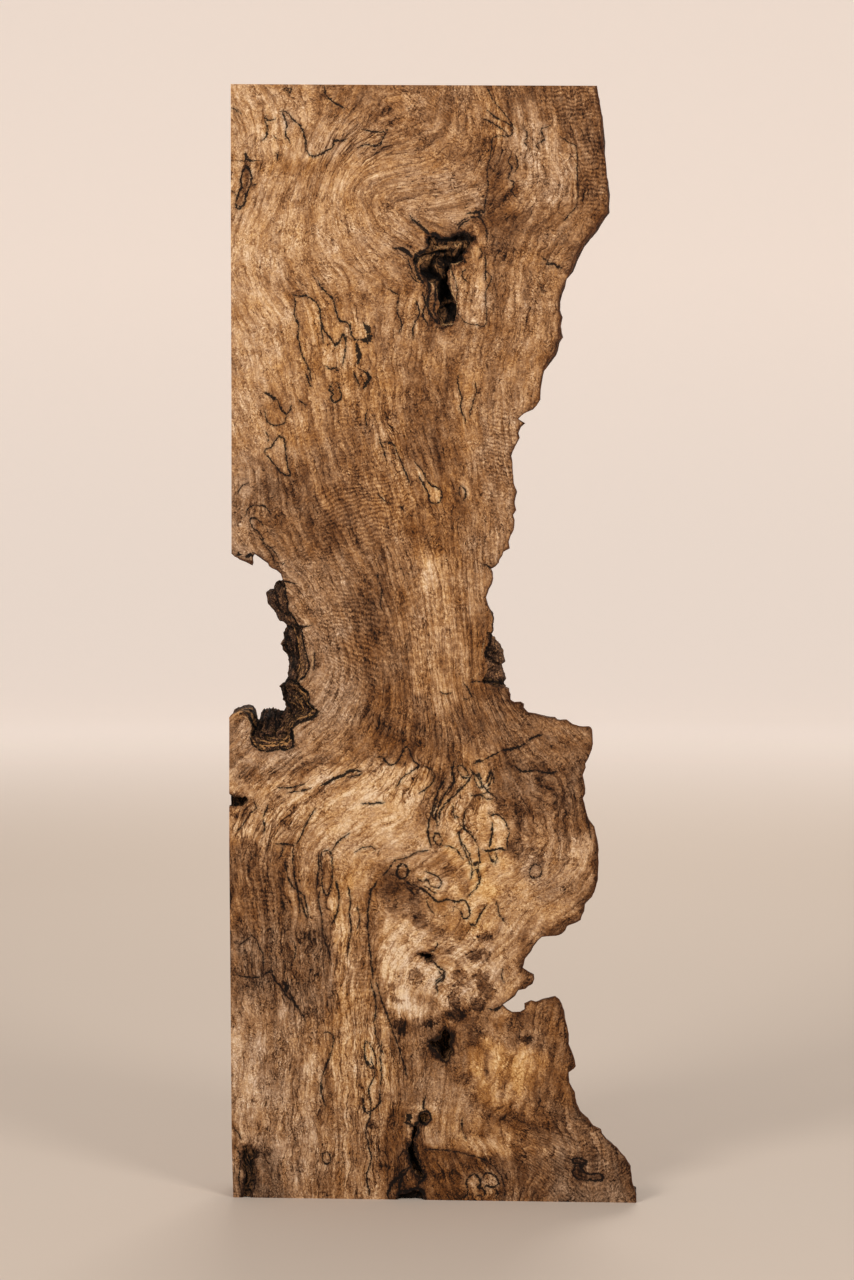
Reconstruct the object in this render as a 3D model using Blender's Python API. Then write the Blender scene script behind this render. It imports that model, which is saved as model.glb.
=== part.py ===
# A free-standing slab of spalted maple burl, one piece of wood with the bark still on it.
# The front, the back, both ends and the left edge are sawn; the right edge and the notch
# in the left edge are natural. Lengths in this file are in millimetres, measured from the
# foot's front left corner: x to the right, z up and depth from the front face to the back.

import bpy
import bmesh
from math import cos, hypot, pi, sin
from mathutils import Vector, noise

MM = 0.001
SLAB_HEIGHT = 750.0
SLAB_THICKNESS = 50.0
FOOT_WIDTH = 273.4
TOP_FALL = 2.0

# How far behind the front face each ring of the slab's skin lies.
RING_DEPTHS = (0.0, 3.0, 8.0, 17.0, 33.0, SLAB_THICKNESS)
# How much of the way from the face's edge to the bark line each ring has gone.
QUICK_BARK = (0.0, 0.5, 0.9, 1.0, 1.0, 1.0)
SLOPING_BARK = (0.0, 0.22, 0.45, 0.78, 1.0, 1.0)
# The natural edges aren't square to the face: going back, they drift away from this point.
DRIFT_CENTRE = (262.0, 537.0)
DRIFT_PER_MM = 0.00042
# The bark is rough: rings behind the face sink into the wood by up to this much.
ROUGH_DEPTH = (0.0, 0.3, 0.7, 1.3, 2.2, 3.4)
ROUGH_SIZE = 24.0
EDGE_FADE = 12.0
# Width of the thin rim of bark that shows beside the face, and where it is wider.
RIM_WIDTH = 0.7
WIDE_RIMS = ((562.0, 584.0, 3.0), (588.0, 616.0, 1.6), (622.0, 662.0, 3.0), (706.0, 721.0, 2.2))

WOOD_COLOUR = (0.42, 0.24, 0.12, 1.0)
WOOD_ROUGHNESS = 0.7

# The natural right edge, from the foot upwards.
FOOT_FLARE = [
    (FOOT_WIDTH, 0.0), (273.2, 5.5), (271.4, 13.5), (270.6, 20.0), (269.6, 25.5), (265.8, 32.0),
    (262.2, 35.5), (260.0, 38.5), (256.2, 41.5), (252.8, 44.5), (250.6, 47.5), (249.2, 50.5),
    (244.4, 52.8), (241.0, 58.0), (238.0, 60.5), (235.4, 63.0), (233.6, 67.0), (232.4, 71.5),
    (232.0, 75.5), (228.2, 82.0), (228.0, 88.2), (231.2, 90.6), (232.6, 92.8), (231.6, 97.5),
    (230.0, 103.0), (228.0, 108.0), (228.0, 114.5), (226.6, 120.0), (225.0, 126.0),
    (224.4, 131.0), (223.0, 135.5), (221.0, 138.8), (218.0, 140.7), (214.8, 140.0),
    (209.0, 138.8), (205.0, 137.2), (201.6, 137.8), (196.8, 135.6), (196.8, 131.6),
    (194.2, 130.1), (189.2, 129.8), (186.2, 131.4), (183.4, 133.6),
]
NOTCH_TOOTH = [
    (183.4, 133.9), (187.0, 136.3), (191.4, 139.6), (193.6, 143.4), (198.2, 144.2),
    (200.4, 146.4), (203.0, 148.0), (204.4, 151.4), (204.0, 155.2), (200.6, 157.0),
    (196.6, 159.8), (197.6, 162.0), (198.2, 165.0), (200.2, 167.8), (202.2, 170.4),
    (203.8, 173.6), (207.0, 177.6), (209.2, 179.8),
]
RIGHT_LOBE = [
    (209.2, 179.8), (214.0, 180.3), (218.8, 180.6), (222.8, 182.5), (225.2, 184.6),
    (226.2, 187.2), (232.6, 189.8), (235.6, 191.6), (236.4, 194.6), (238.0, 198.0),
    (238.3, 202.4), (243.0, 207.6), (244.5, 210.7), (245.8, 214.6), (247.0, 219.4),
    (247.4, 225.0), (247.6, 231.0), (247.0, 236.0), (247.4, 240.0), (246.2, 247.0),
    (244.4, 255.4), (240.6, 260.2), (239.0, 264.5), (238.0, 269.4), (237.0, 274.4),
    (238.4, 277.2), (238.7, 281.0), (236.8, 289.6), (238.6, 295.0), (238.2, 297.4),
    (240.2, 301.0), (242.8, 307.4), (243.4, 311.0), (243.0, 317.0), (242.6, 320.4),
    (241.6, 322.6), (239.6, 323.6), (233.0, 323.3), (229.6, 324.4), (225.0, 327.5),
    (219.0, 327.6), (217.4, 329.2), (212.0, 329.7), (204.0, 331.8), (199.6, 332.5),
    (196.6, 335.2), (196.8, 337.8), (194.2, 339.6), (190.0, 339.0), (188.0, 340.6),
    (188.2, 344.0), (187.2, 346.0), (186.6, 348.3), (184.2, 349.2),
]
# In the hollow below the waist the face stands back and dark bark shows behind it.
WAIST_HOLLOW_FACE = [
    (183.4, 348.6), (176.0, 350.6), (169.6, 352.2), (168.2, 353.4), (170.4, 354.8),
    (172.4, 358.0), (172.6, 361.4), (171.8, 366.0), (170.4, 369.5), (170.4, 372.8),
    (171.8, 376.4), (172.8, 381.0), (174.4, 385.8),
]
WAIST_HOLLOW_BARK = [
    (184.2, 349.2), (184.2, 355.2), (182.6, 359.0), (181.3, 361.0), (184.2, 366.8),
    (182.8, 369.6), (181.8, 374.2), (180.6, 376.8), (178.6, 379.6), (177.0, 382.6),
    (175.8, 387.0),
]
WAIST = [
    (175.8, 387.0), (175.8, 392.5), (175.5, 398.2), (172.7, 403.8), (171.5, 408.6),
    (173.0, 414.0), (175.0, 417.6), (176.0, 421.4), (175.8, 425.2), (174.6, 427.8),
    (177.6, 429.2), (179.8, 431.6), (180.4, 434.2), (182.2, 436.4), (183.0, 438.6),
    (187.0, 441.4), (186.5, 446.0), (188.2, 450.6), (189.8, 454.0), (190.4, 460.5),
    (189.4, 463.8), (191.4, 467.0), (190.5, 471.5), (190.7, 475.2), (191.8, 479.4),
    (189.5, 486.6), (188.8, 491.5), (188.8, 499.0), (187.5, 503.2), (189.8, 509.4),
    (193.4, 515.2), (192.6, 518.4), (194.2, 522.4), (197.2, 525.2), (192.6, 528.2),
]
SHOULDER = [
    (192.6, 528.2), (196.0, 530.8), (202.2, 533.4), (205.2, 536.4), (207.4, 540.6),
    (207.7, 546.8), (207.8, 551.0), (208.8, 556.0), (209.4, 559.6), (214.2, 565.0),
    (217.6, 569.4), (219.2, 573.2), (219.9, 578.2), (222.4, 582.0), (220.6, 589.4),
    (221.8, 595.6), (220.1, 600.0), (220.2, 605.5), (221.4, 609.8), (223.2, 615.4),
    (224.4, 620.6), (228.8, 625.2), (230.4, 629.4), (232.2, 634.4), (235.8, 641.2),
    (239.8, 646.4), (244.2, 651.6), (247.2, 656.6), (249.8, 660.8), (252.0, 664.4),
    (252.3, 670.4), (252.4, 676.5), (251.6, 684.5), (250.4, 691.5), (250.2, 696.5),
    (249.2, 703.5), (249.3, 710.8), (248.8, 717.6), (247.7, 725.6), (246.0, 735.6),
    (244.6, 742.0), (243.6, SLAB_HEIGHT - TOP_FALL),
]
# The sawn ends and the sawn left edge, down to the notch.
TOP_END = [(243.6, SLAB_HEIGHT - TOP_FALL), (120.0, 748.9), (0.0, SLAB_HEIGHT)]
UPPER_LEFT_EDGE = [(0.0, SLAB_HEIGHT), (-0.2, 640.0), (0.0, 540.0), (-0.2, 437.4)]
# The underside of the upper corner, with a splinter of bark hanging from it.
NOTCH_SPLINTER = [
    (-0.2, 437.4), (1.8, 435.2), (5.0, 432.8), (9.6, 431.2), (12.0, 430.1), (14.2, 429.2),
    (14.9, 431.4), (14.6, 435.2), (15.4, 436.8), (17.8, 435.2), (20.8, 433.2), (24.0, 430.8),
    (24.6, 429.0), (26.6, 427.2), (30.0, 425.8), (32.4, 423.6), (34.4, 421.0),
]
# Down the notch, each stretch of the face's edge with the bark that flares out behind it.
NOTCH_WALLS = [
    (
        [(34.4, 421.0), (35.2, 417.0), (36.2, 411.0), (37.4, 405.0), (37.3, 400.6),
         (40.0, 396.4), (42.8, 392.4), (44.6, 389.4)],
        [(34.2, 420.4), (29.6, 417.6), (27.2, 414.8), (23.4, 413.0), (22.2, 410.6),
         (23.2, 405.2), (26.2, 401.6), (28.6, 400.0), (29.6, 395.4), (31.6, 391.4),
         (34.4, 390.6), (36.4, 388.4)],
    ),
    (
        [(44.6, 389.4), (47.2, 384.0), (48.0, 378.0), (50.0, 370.0), (52.0, 362.4),
         (51.2, 358.8), (49.4, 355.6), (43.4, 350.8)],
        [(36.4, 388.4), (33.5, 384.8), (34.0, 380.4), (31.2, 376.6), (34.6, 371.8),
         (37.6, 366.6), (37.3, 363.2), (36.0, 357.0), (35.4, 353.2), (30.8, 349.4)],
    ),
    (
        [(43.4, 350.8), (43.8, 349.2), (47.4, 347.2), (50.2, 345.0), (51.6, 341.8),
         (51.8, 338.2), (54.0, 334.6), (57.6, 331.6)],
        [(30.8, 349.4), (32.0, 346.0), (33.0, 341.2), (32.2, 339.0), (33.4, 336.0),
         (33.0, 332.8)],
    ),
    (
        [(57.6, 331.6), (55.0, 327.8), (50.8, 326.0), (44.2, 323.8), (41.6, 321.6),
         (40.2, 317.2), (41.2, 312.6), (41.6, 308.0), (39.2, 306.0)],
        [(33.0, 332.8), (32.2, 333.9), (30.8, 334.7), (29.2, 335.1), (27.6, 335.4)],
    ),
    (
        [(39.2, 306.0), (31.0, 305.4), (21.6, 304.6), (15.4, 307.6), (13.2, 310.4),
         (11.5, 315.0)],
        [(27.6, 335.4), (25.2, 335.3), (24.4, 334.4), (21.4, 335.4), (19.9, 333.4),
         (18.7, 329.6), (18.2, 325.6)],
    ),
    (
        [(11.5, 315.0), (13.6, 317.0), (13.9, 319.6), (13.2, 323.4), (12.2, 327.2),
         (10.6, 330.0), (8.0, 331.3), (4.2, 330.8), (1.0, 329.6), (-0.9, 327.6),
         (-2.0, 325.0)],
        [(18.2, 325.6), (17.1, 325.6), (17.1, 329.4), (16.2, 333.0), (15.2, 335.2),
         (10.6, 336.0), (6.4, 334.6), (3.2, 333.0), (0.8, 331.2), (-0.7, 329.0),
         (-2.0, 326.0)],
    ),
]
LOWER_LEFT_EDGE = [(-2.0, 325.6), (-2.2, 240.0), (-1.4, 120.0), (-1.0, 40.0), (0.0, 0.0)]
FOOT_END = [(0.0, 0.0), (90.0, 0.0), (180.0, 0.0), (FOOT_WIDTH, 0.0)]
SAWN_STRETCHES = (TOP_END, UPPER_LEFT_EDGE, LOWER_LEFT_EDGE, FOOT_END)

# Pockets that open on the front face: outline, depth, and size of the floor beside the mouth.
KNOT_HOLE = [
    (130.6, 649.6), (133.4, 650.0), (140.0, 647.4), (146.8, 647.6), (151.2, 650.6),
    (155.4, 651.4), (160.0, 650.8), (162.8, 649.0), (162.2, 646.6), (159.6, 643.4),
    (156.9, 640.8), (156.2, 637.0), (154.2, 633.2), (151.8, 631.8), (146.2, 630.8),
    (145.4, 627.6), (145.9, 623.0), (145.3, 619.4), (147.6, 612.8), (148.9, 606.0),
    (149.8, 599.0), (150.2, 593.0), (147.0, 590.2), (142.0, 588.8), (138.6, 590.4),
    (138.0, 597.0), (138.6, 604.0), (137.6, 610.8), (136.0, 616.6), (130.2, 620.0),
    (127.2, 624.0), (123.6, 629.6), (121.8, 633.6), (126.6, 637.4), (132.4, 641.8),
    (131.2, 645.4),
]
FOOT_LEFT_POCKET = [
    (6.6, 35.4), (10.6, 35.9), (13.8, 33.0), (14.6, 28.6), (15.3, 22.0), (14.9, 14.8),
    (13.6, 8.0), (12.4, -3.0), (7.0, -3.0), (6.6, 4.0), (7.0, 12.0), (6.6, 22.0), (6.2, 30.0),
]
FOOT_VOID = [
    (111.0, -3.0), (111.2, 4.0), (114.6, 5.0), (118.4, 6.0), (122.4, 7.4), (127.4, 7.0),
    (128.8, 3.6), (130.6, -3.0),
]
FOOT_CRACK = [
    (122.6, 50.6), (124.6, 50.0), (124.2, 44.0), (123.6, 39.0), (122.6, 35.0), (123.2, 30.8),
    (125.6, 27.4), (126.6, 23.8), (128.6, 20.4), (131.6, 16.6), (130.6, 14.2), (127.4, 14.8),
    (124.6, 18.2), (121.4, 20.4), (120.4, 26.0), (119.8, 30.0), (117.8, 33.4), (120.4, 37.6),
    (121.6, 43.0),
]
CENTRE_POCKET = [
    (144.0, 119.0), (147.6, 115.4), (148.4, 112.0), (148.0, 107.0), (149.2, 101.2),
    (147.0, 97.2), (144.0, 95.0), (141.6, 95.4), (139.4, 100.2), (137.0, 103.2), (134.0, 104.4),
    (132.6, 106.8), (133.8, 108.8), (137.2, 108.6), (140.4, 111.4), (141.2, 115.2),
]
DARK_PIT = [
    (126.8, 167.8), (129.8, 168.6), (134.4, 168.6), (135.8, 166.2), (134.0, 163.6),
    (131.0, 163.8), (128.8, 166.0),
]
EDGE_POCKET = [
    (-6.0, 276.0), (-1.0, 275.4), (1.4, 273.4), (4.4, 272.9), (8.2, 273.0), (10.4, 271.4),
    (8.4, 269.4), (7.2, 266.6), (5.6, 265.4), (2.0, 265.4), (-1.2, 266.6), (-6.0, 266.0),
]
ROUND_HOLE_CENTRE = (130.1, 56.2)
ROUND_HOLE_RADIUS = 3.8
ROUND_HOLE_SIDES = 12
ROUND_HOLE = [
    (
        ROUND_HOLE_CENTRE[0] + ROUND_HOLE_RADIUS * cos(2 * pi * step / ROUND_HOLE_SIDES),
        ROUND_HOLE_CENTRE[1] + ROUND_HOLE_RADIUS * sin(2 * pi * step / ROUND_HOLE_SIDES),
    )
    for step in range(ROUND_HOLE_SIDES)
]
POCKETS = {
    "knot_hole": (KNOT_HOLE, 28.0, 0.62),
    "foot_left_pocket": (FOOT_LEFT_POCKET, 13.0, 0.7),
    "foot_void": (FOOT_VOID, 17.0, 0.75),
    "foot_crack": (FOOT_CRACK, 8.0, 0.8),
    "centre_pocket": (CENTRE_POCKET, 16.0, 0.55),
    "dark_pit": (DARK_PIT, 7.0, 0.6),
    "edge_pocket": (EDGE_POCKET, 12.0, 0.75),
    "round_hole": (ROUND_HOLE, 4.0, 0.8),
}
MOUTH_OVERSHOOT = 2.0
POCKET_STEPS = ((0.0, 0.0), (0.45, 0.25), (1.0, 1.0))


def spread(points, count):
    """Place count points evenly along a line of points, both ends included."""
    lengths = [0.0]
    for here, there in zip(points, points[1:]):
        lengths.append(lengths[-1] + hypot(there[0] - here[0], there[1] - here[1]))
    placed = []
    leg = 0
    for step in range(count):
        goal = lengths[-1] * step / (count - 1)
        while leg < len(points) - 2 and lengths[leg + 1] < goal:
            leg += 1
        part = (goal - lengths[leg]) / (lengths[leg + 1] - lengths[leg])
        start, end = Vector(points[leg]), Vector(points[leg + 1])
        placed.append(start.lerp(end, part))
    return placed


def rim_width(height):
    """Width of the bark rim at a height on the right edge."""
    for low, high, width in WIDE_RIMS:
        if low <= height <= high:
            return width
    return RIM_WIDTH


def outline_stations():
    """All stations round the slab: edge of the face, bark line, bark profile, fade."""
    stations = []

    def add(face, bark, profile, natural):
        total = len(face) - 1
        for step in range(total):
            stations.append((Vector(face[step]), Vector(bark[step]), profile, natural))

    for stretch in (FOOT_FLARE, NOTCH_TOOTH, RIGHT_LOBE):
        add(stretch, stretch, QUICK_BARK, True)
    count = len(WAIST_HOLLOW_FACE) + 2
    add(spread(WAIST_HOLLOW_FACE, count), spread(WAIST_HOLLOW_BARK, count), QUICK_BARK, True)
    for stretch in (WAIST, SHOULDER):
        add(stretch, stretch, QUICK_BARK, True)
    add(TOP_END, TOP_END, QUICK_BARK, False)
    add(UPPER_LEFT_EDGE, UPPER_LEFT_EDGE, QUICK_BARK, False)
    add(NOTCH_SPLINTER, NOTCH_SPLINTER, QUICK_BARK, True)
    for face, bark in NOTCH_WALLS:
        count = max(len(face), len(bark)) + 1
        add(spread(face, count), spread(bark, count), SLOPING_BARK, True)
    add(LOWER_LEFT_EDGE, LOWER_LEFT_EDGE, QUICK_BARK, False)
    add(FOOT_END, FOOT_END, QUICK_BARK, False)
    return stations


def outward_normals(points):
    """Unit vectors that point out of a closed anticlockwise outline."""
    normals = []
    for index, point in enumerate(points):
        along = points[(index + 1) % len(points)] - points[index - 1]
        normals.append(Vector((along.y, -along.x)).normalized())
    return normals


def ring_points(stations, ring):
    """The outline of one ring of the slab's skin, as x and z in millimetres."""
    depth = RING_DEPTHS[ring]
    barks = [station[1] for station in stations]
    normals = outward_normals(barks)
    saw_marks = [Vector(point) for stretch in SAWN_STRETCHES for point in stretch]
    centre = Vector(DRIFT_CENTRE)
    points = []
    for (face, bark, profile, natural), normal in zip(stations, normals):
        if not natural:
            points.append(bark.copy())
            continue
        nearest_saw = min((bark - mark).length for mark in saw_marks)
        fade = min(1.0, nearest_saw / EDGE_FADE)
        face_point = face
        if (face - bark).length < RIM_WIDTH:
            face_point = bark - normal * rim_width(bark.y) * fade
        point = face_point.lerp(bark, profile[ring])
        point += (bark - centre) * DRIFT_PER_MM * depth * fade
        where = Vector((bark.x, depth, bark.y)) / ROUGH_SIZE
        sink = 0.5 + 0.5 * noise.noise(where)
        points.append(point - normal * sink * ROUGH_DEPTH[ring] * fade)
    return points


def loft(name, rings):
    """Join rings of points, front to back, into one closed mesh object."""
    mesh = bpy.data.meshes.new(name)
    build = bmesh.new()
    front = [build.verts.new(point) for point in rings[0]]
    edges = [build.edges.new((a, b)) for a, b in zip(front, front[1:] + front[:1])]
    bmesh.ops.contextual_create(build, geom=edges)
    current = list(front)
    for ring in rings[1:]:
        loop = [build.edges.get((a, b)) for a, b in zip(current, current[1:] + current[:1])]
        grown = bmesh.ops.extrude_edge_only(build, edges=loop)["geom"]
        new_verts = {item for item in grown if isinstance(item, bmesh.types.BMVert)}
        following = []
        for vert in current:
            partner = next(e.other_vert(vert) for e in vert.link_edges if e.other_vert(vert) in new_verts)
            following.append(partner)
        for vert, point in zip(following, ring):
            vert.co = point
        current = following
    loop = [build.edges.get((a, b)) for a, b in zip(current, current[1:] + current[:1])]
    bmesh.ops.contextual_create(build, geom=loop)
    bmesh.ops.recalc_face_normals(build, faces=build.faces)
    bmesh.ops.triangulate(build, faces=build.faces, quad_method="SHORT_EDGE", ngon_method="BEAUTY")
    build.to_mesh(mesh)
    build.free()
    item = bpy.data.objects.new(name, mesh)
    bpy.context.collection.objects.link(item)
    return item


def pocket_rings(outline, depth, floor_size, centre_x):
    """Rings of a cutter that narrows from the pocket's mouth to its floor."""
    middle = sum((Vector(point) for point in outline), Vector((0.0, 0.0))) / len(outline)
    face_y = -SLAB_THICKNESS / 2
    rings = []
    for step_depth, narrowing in POCKET_STEPS:
        scale = 1.0 - (1.0 - floor_size) * narrowing
        ring = []
        for point in outline:
            spot = middle + (Vector(point) - middle) * scale
            y = face_y - MOUTH_OVERSHOOT if step_depth == 0.0 else face_y + depth * step_depth
            ring.append(Vector((spot.x - centre_x, y, spot.y)) * MM)
        rings.append(ring)
    return rings


def wood_material():
    """The mean colour of the sawn wood."""
    material = bpy.data.materials.new("burl_wood")
    material.use_nodes = True
    shader = material.node_tree.nodes["Principled BSDF"]
    shader.inputs["Base Color"].default_value = WOOD_COLOUR
    shader.inputs["Roughness"].default_value = WOOD_ROUGHNESS
    shader.inputs["Metallic"].default_value = 0.0
    return material


def build_slab():
    """The slab with its pockets cut in by Boolean modifiers."""
    stations = outline_stations()
    outlines = [ring_points(stations, ring) for ring in range(len(RING_DEPTHS))]
    all_x = [point.x for outline in outlines for point in outline]
    centre_x = (min(all_x) + max(all_x)) / 2
    rings = []
    for outline, depth in zip(outlines, RING_DEPTHS):
        y = depth - SLAB_THICKNESS / 2
        rings.append([Vector((point.x - centre_x, y, point.y)) * MM for point in outline])
    slab = loft("burl_slab", rings)
    slab.data.materials.append(wood_material())
    for name, (outline, depth, floor_size) in POCKETS.items():
        cutter = loft("cut_" + name, pocket_rings(outline, depth, floor_size, centre_x))
        cutter.display_type = "WIRE"
        cutter.hide_render = True
        cut = slab.modifiers.new(name, "BOOLEAN")
        cut.operation = "DIFFERENCE"
        cut.solver = "EXACT"
        cut.object = cutter
    return slab


for old in list(bpy.data.objects):
    bpy.data.objects.remove(old, do_unlink=True)
build_slab()
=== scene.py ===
from itertools import product
from math import radians

import bmesh
import bpy
import numpy as np
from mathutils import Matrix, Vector
from mathutils.kdtree import KDTree


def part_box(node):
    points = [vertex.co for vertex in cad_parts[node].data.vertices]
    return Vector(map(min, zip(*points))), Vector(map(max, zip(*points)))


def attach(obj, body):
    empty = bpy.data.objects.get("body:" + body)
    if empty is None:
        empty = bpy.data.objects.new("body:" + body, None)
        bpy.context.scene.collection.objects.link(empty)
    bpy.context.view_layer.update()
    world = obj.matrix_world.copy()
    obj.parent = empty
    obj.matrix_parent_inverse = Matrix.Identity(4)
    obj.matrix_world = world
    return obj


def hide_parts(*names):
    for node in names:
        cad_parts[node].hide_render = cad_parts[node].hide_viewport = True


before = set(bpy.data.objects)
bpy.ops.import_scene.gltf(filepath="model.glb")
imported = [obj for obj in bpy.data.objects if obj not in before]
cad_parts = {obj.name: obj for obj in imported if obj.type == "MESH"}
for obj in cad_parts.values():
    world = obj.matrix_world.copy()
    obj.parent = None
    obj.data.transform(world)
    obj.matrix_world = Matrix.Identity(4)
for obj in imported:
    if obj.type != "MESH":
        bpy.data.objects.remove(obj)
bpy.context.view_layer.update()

# Places on the slab are in millimetres from the foot's front left corner:
# x to the right, z up, and depth from the front face to the back.
slab = {
    "cornerX": -135.6,       # where that corner is in the frame
    "frontY": -25.0,
    "thickness": 50.0,
    "frontCell": 2.7,        # size of the mesh cells on the front face
    "sideCell": 2.7,
    "backCell": 4.6,
    "fineCell": 1.35,        # and on thick bark and in the pockets
    "barkDepth": 0.7,        # how far the bark's ridges rise and sink
    "notchDepth": 1.9,       # the same where the bark is thick
    "crackDepth": 2.6,       # and how deep the cracks between its plates go
    "pocketDepth": 1.9,
    "rimReach": 5.0,         # how far the ragged edge pulls the face beside it
    "notchBark": (62, 300, 424),     # thick bark lies left of this x, between these heights
    "waistBark": (160, 346, 402),    # and right of this one
    "knotCorner": (119, 585),        # the knot hole lies to the right of this and above it
    "knotCore": (145, 612, 7, 15),   # its deepest part: x, z and how far that reaches
    "floorShare": 0.13,      # share of its depth that the knot hole keeps at least
    "coreShare": 0.24,       # and how much more at its core
    "footShare": 0.22,       # the same for the pockets at the foot
    "squarely": 0.985,       # how squarely a face looks out to be taken as front or back
    "backDrift": 14.0,       # how far the figure has wandered at the back face
    "seed": 11,
}


def srgb(red, green, blue):
    return tuple(((part / 255 + 0.055) / 1.055) ** 2.4 for part in (red, green, blue)) + (1.0,)


noiseGain = 2.6     # brings the noise to about -1 to 1


class Wire:
    # wraps one output socket, so shader maths reads as plain sums
    def __init__(self, tree, socket=None):
        self.tree = tree
        self.socket = socket

    def node(self, kind, settings=None, values=None, output=0):
        item = self.tree.nodes.new("ShaderNode" + kind)
        for name, value in (settings or {}).items():
            if name == "stops":
                fillRamp(item.color_ramp, value)
            else:
                setattr(item, name, value)
        for key, value in (values or {}).items():
            if isinstance(value, Wire):
                self.tree.links.new(value.socket, item.inputs[key])
            else:
                item.inputs[key].default_value = value
        return Wire(self.tree, item.outputs[output])

    def sum(self, operation, *values):
        return self.node("Math", {"operation": operation}, dict(enumerate(values)))

    def __add__(self, other):
        return self.sum("ADD", self, other)

    def __radd__(self, other):
        return self.sum("ADD", other, self)

    def __sub__(self, other):
        return self.sum("SUBTRACT", self, other)

    def __rsub__(self, other):
        return self.sum("SUBTRACT", other, self)

    def __mul__(self, other):
        return self.sum("MULTIPLY", self, other)

    def __rmul__(self, other):
        return self.sum("MULTIPLY", other, self)

    def __abs__(self):
        return self.sum("ABSOLUTE", self)

    def between(self, low, high):
        # 0 at low, 1 at high, with soft ends
        settings = {"interpolation_type": "SMOOTHSTEP"}
        return self.node("MapRange", settings, {"Value": self, "From Min": low, "From Max": high})

    def fading(self, low, high):
        return 1 - self.between(low, high)

    def most(self, other):
        return self.sum("MAXIMUM", self, other)

    def least(self, other):
        return self.sum("MINIMUM", self, other)

    def repeated(self):
        # rises from 0 to 1 again and again
        return self.sum("FRACT", self)

    def painted(self, name):
        return self.node("Attribute", {"attribute_name": name}, output="Vector")

    def millimetres(self):
        return self.node("TexCoord", output="Object").stretched(0.001, 0.001, 0.001)

    def parts(self):
        split = self.node("SeparateXYZ", values={0: self})
        return [Wire(self.tree, socket) for socket in split.socket.node.outputs]

    def stretched(self, *sizes):
        scale = tuple(1 / size for size in sizes)
        return self.node("VectorMath", {"operation": "MULTIPLY"}, {0: self, 1: scale})

    def shifted(self, amount):
        return self.node("VectorMath", {"operation": "ADD"}, {0: self, 1: amount})

    def cloud(self, detail=2.0, roughness=0.5):
        # soft noise from about -1 to 1
        values = {"Vector": self, "Scale": 1.0, "Detail": detail, "Roughness": roughness}
        return (self.node("TexNoise", values=values) - 0.5) * noiseGain

    def swirl(self, size, amount):
        # these coordinates pushed about by noise
        values = {"Vector": self.stretched(*size), "Scale": 1.0, "Detail": 2.0, "Roughness": 0.55}
        push = self.node("TexNoise", values=values, output="Color").shifted((-0.5, -0.5, -0.5))
        push = self.node("VectorMath", {"operation": "SCALE"}, {0: push, "Scale": amount * noiseGain})
        return self.shifted(push)

    def bump(self, strength, distance):
        return self.node("Bump", values={"Strength": strength, "Distance": distance, "Height": self})

    def ramp(self, stops):
        # stops as place, red, green, blue
        return self.node("ValToRGB", {"stops": [(stop[0], srgb(*stop[1:])) for stop in stops]}, {0: self})

    def over(self, other, share):
        # this colour with the other laid over it
        return self.node("Mix", {"data_type": "RGBA"}, {0: share, 6: self, 7: other}, 2)


def fillRamp(ramp, stops):
    ramp.elements[0].position, ramp.elements[0].color = stops[0]
    ramp.elements[1].position, ramp.elements[1].color = stops[-1]
    for place, colour in stops[1:-1]:
        ramp.elements.new(place).color = colour


def newMaterial(name):
    item = bpy.data.materials.new(name)
    item.use_nodes = True
    return item, Wire(item.node_tree), item.node_tree.nodes["Principled BSDF"]


def plug(shader, **inputs):
    for name, value in inputs.items():
        socket = shader.inputs[name.replace("_", " ")]
        if isinstance(value, Wire):
            value.tree.links.new(value.socket, socket)
        else:
            socket.default_value = value


def softNoise(places, size, seed):
    # smooth seeded noise from -1 to 1 with bumps of the given size
    lattice = np.random.default_rng(slab["seed"] + seed).uniform(-1, 1, (32, 32, 32))
    place = places / size
    cell = np.floor(place).astype(int)
    part = place - cell
    part = part * part * (3 - 2 * part)
    total = np.zeros(len(places))
    for corner in product((0, 1), repeat=3):
        index = (cell + corner) % 32
        weight = np.where(corner, part, 1 - part).prod(axis=1)
        total += weight * lattice[index[:, 0], index[:, 1], index[:, 2]]
    return total


def wobble(places, size, seed):
    # two of those noises side by side, to push x and z about
    return np.column_stack([softNoise(places, size, seed), softNoise(places, size, seed + 1)])


def upright(points):
    # rows of x and z with a depth of nothing between them
    return np.column_stack([points[:, 0], np.zeros(len(points)), points[:, 1]])


def inMillimetres(vectors):
    places = np.array(vectors, float).reshape(-1, 3) * 1000
    return np.column_stack([places[:, 0] - slab["cornerX"], places[:, 1] - slab["frontY"], places[:, 2]])


sawn, bark, hollow = 0, 1, 2

# boxes round the pockets in the front face: x from, x to, z from, z to, deepest
pocketBoxes = [
    (119, 166, 585, 655, 40), (4.5, 17.5, 0, 38, 16), (108, 133, 0, 9.5, 24), (115, 134, 12, 52, 20),
    (130, 152, 93, 121, 26), (124, 138, 161, 171, 12), (-3, 12, 263, 278, 14), (125.5, 134.7, 51.5, 61, 14),
]


def skinOf(face):
    # sawn wood, bark or the dark inside of a pocket
    x, depth, z = inMillimetres([face.calc_center_median()])[0]
    normal = face.normal
    if abs(normal.y) > slab["squarely"] and (depth < 0.02 or depth > slab["thickness"] - 0.02):
        return sawn
    if normal.z < -0.98 and z < 0.05 or normal.z > 0.9 and z > 747.0:
        return sawn
    for left, right, low, high, deep in pocketBoxes:
        if left < x < right and low <= z < high and depth < deep:
            if not (normal.x < -0.8 and x < 1.5):
                return hollow
    if normal.x < -0.93 and x < 3.0 and not 334.0 < z < 436.0:
        return sawn
    return bark


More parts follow.
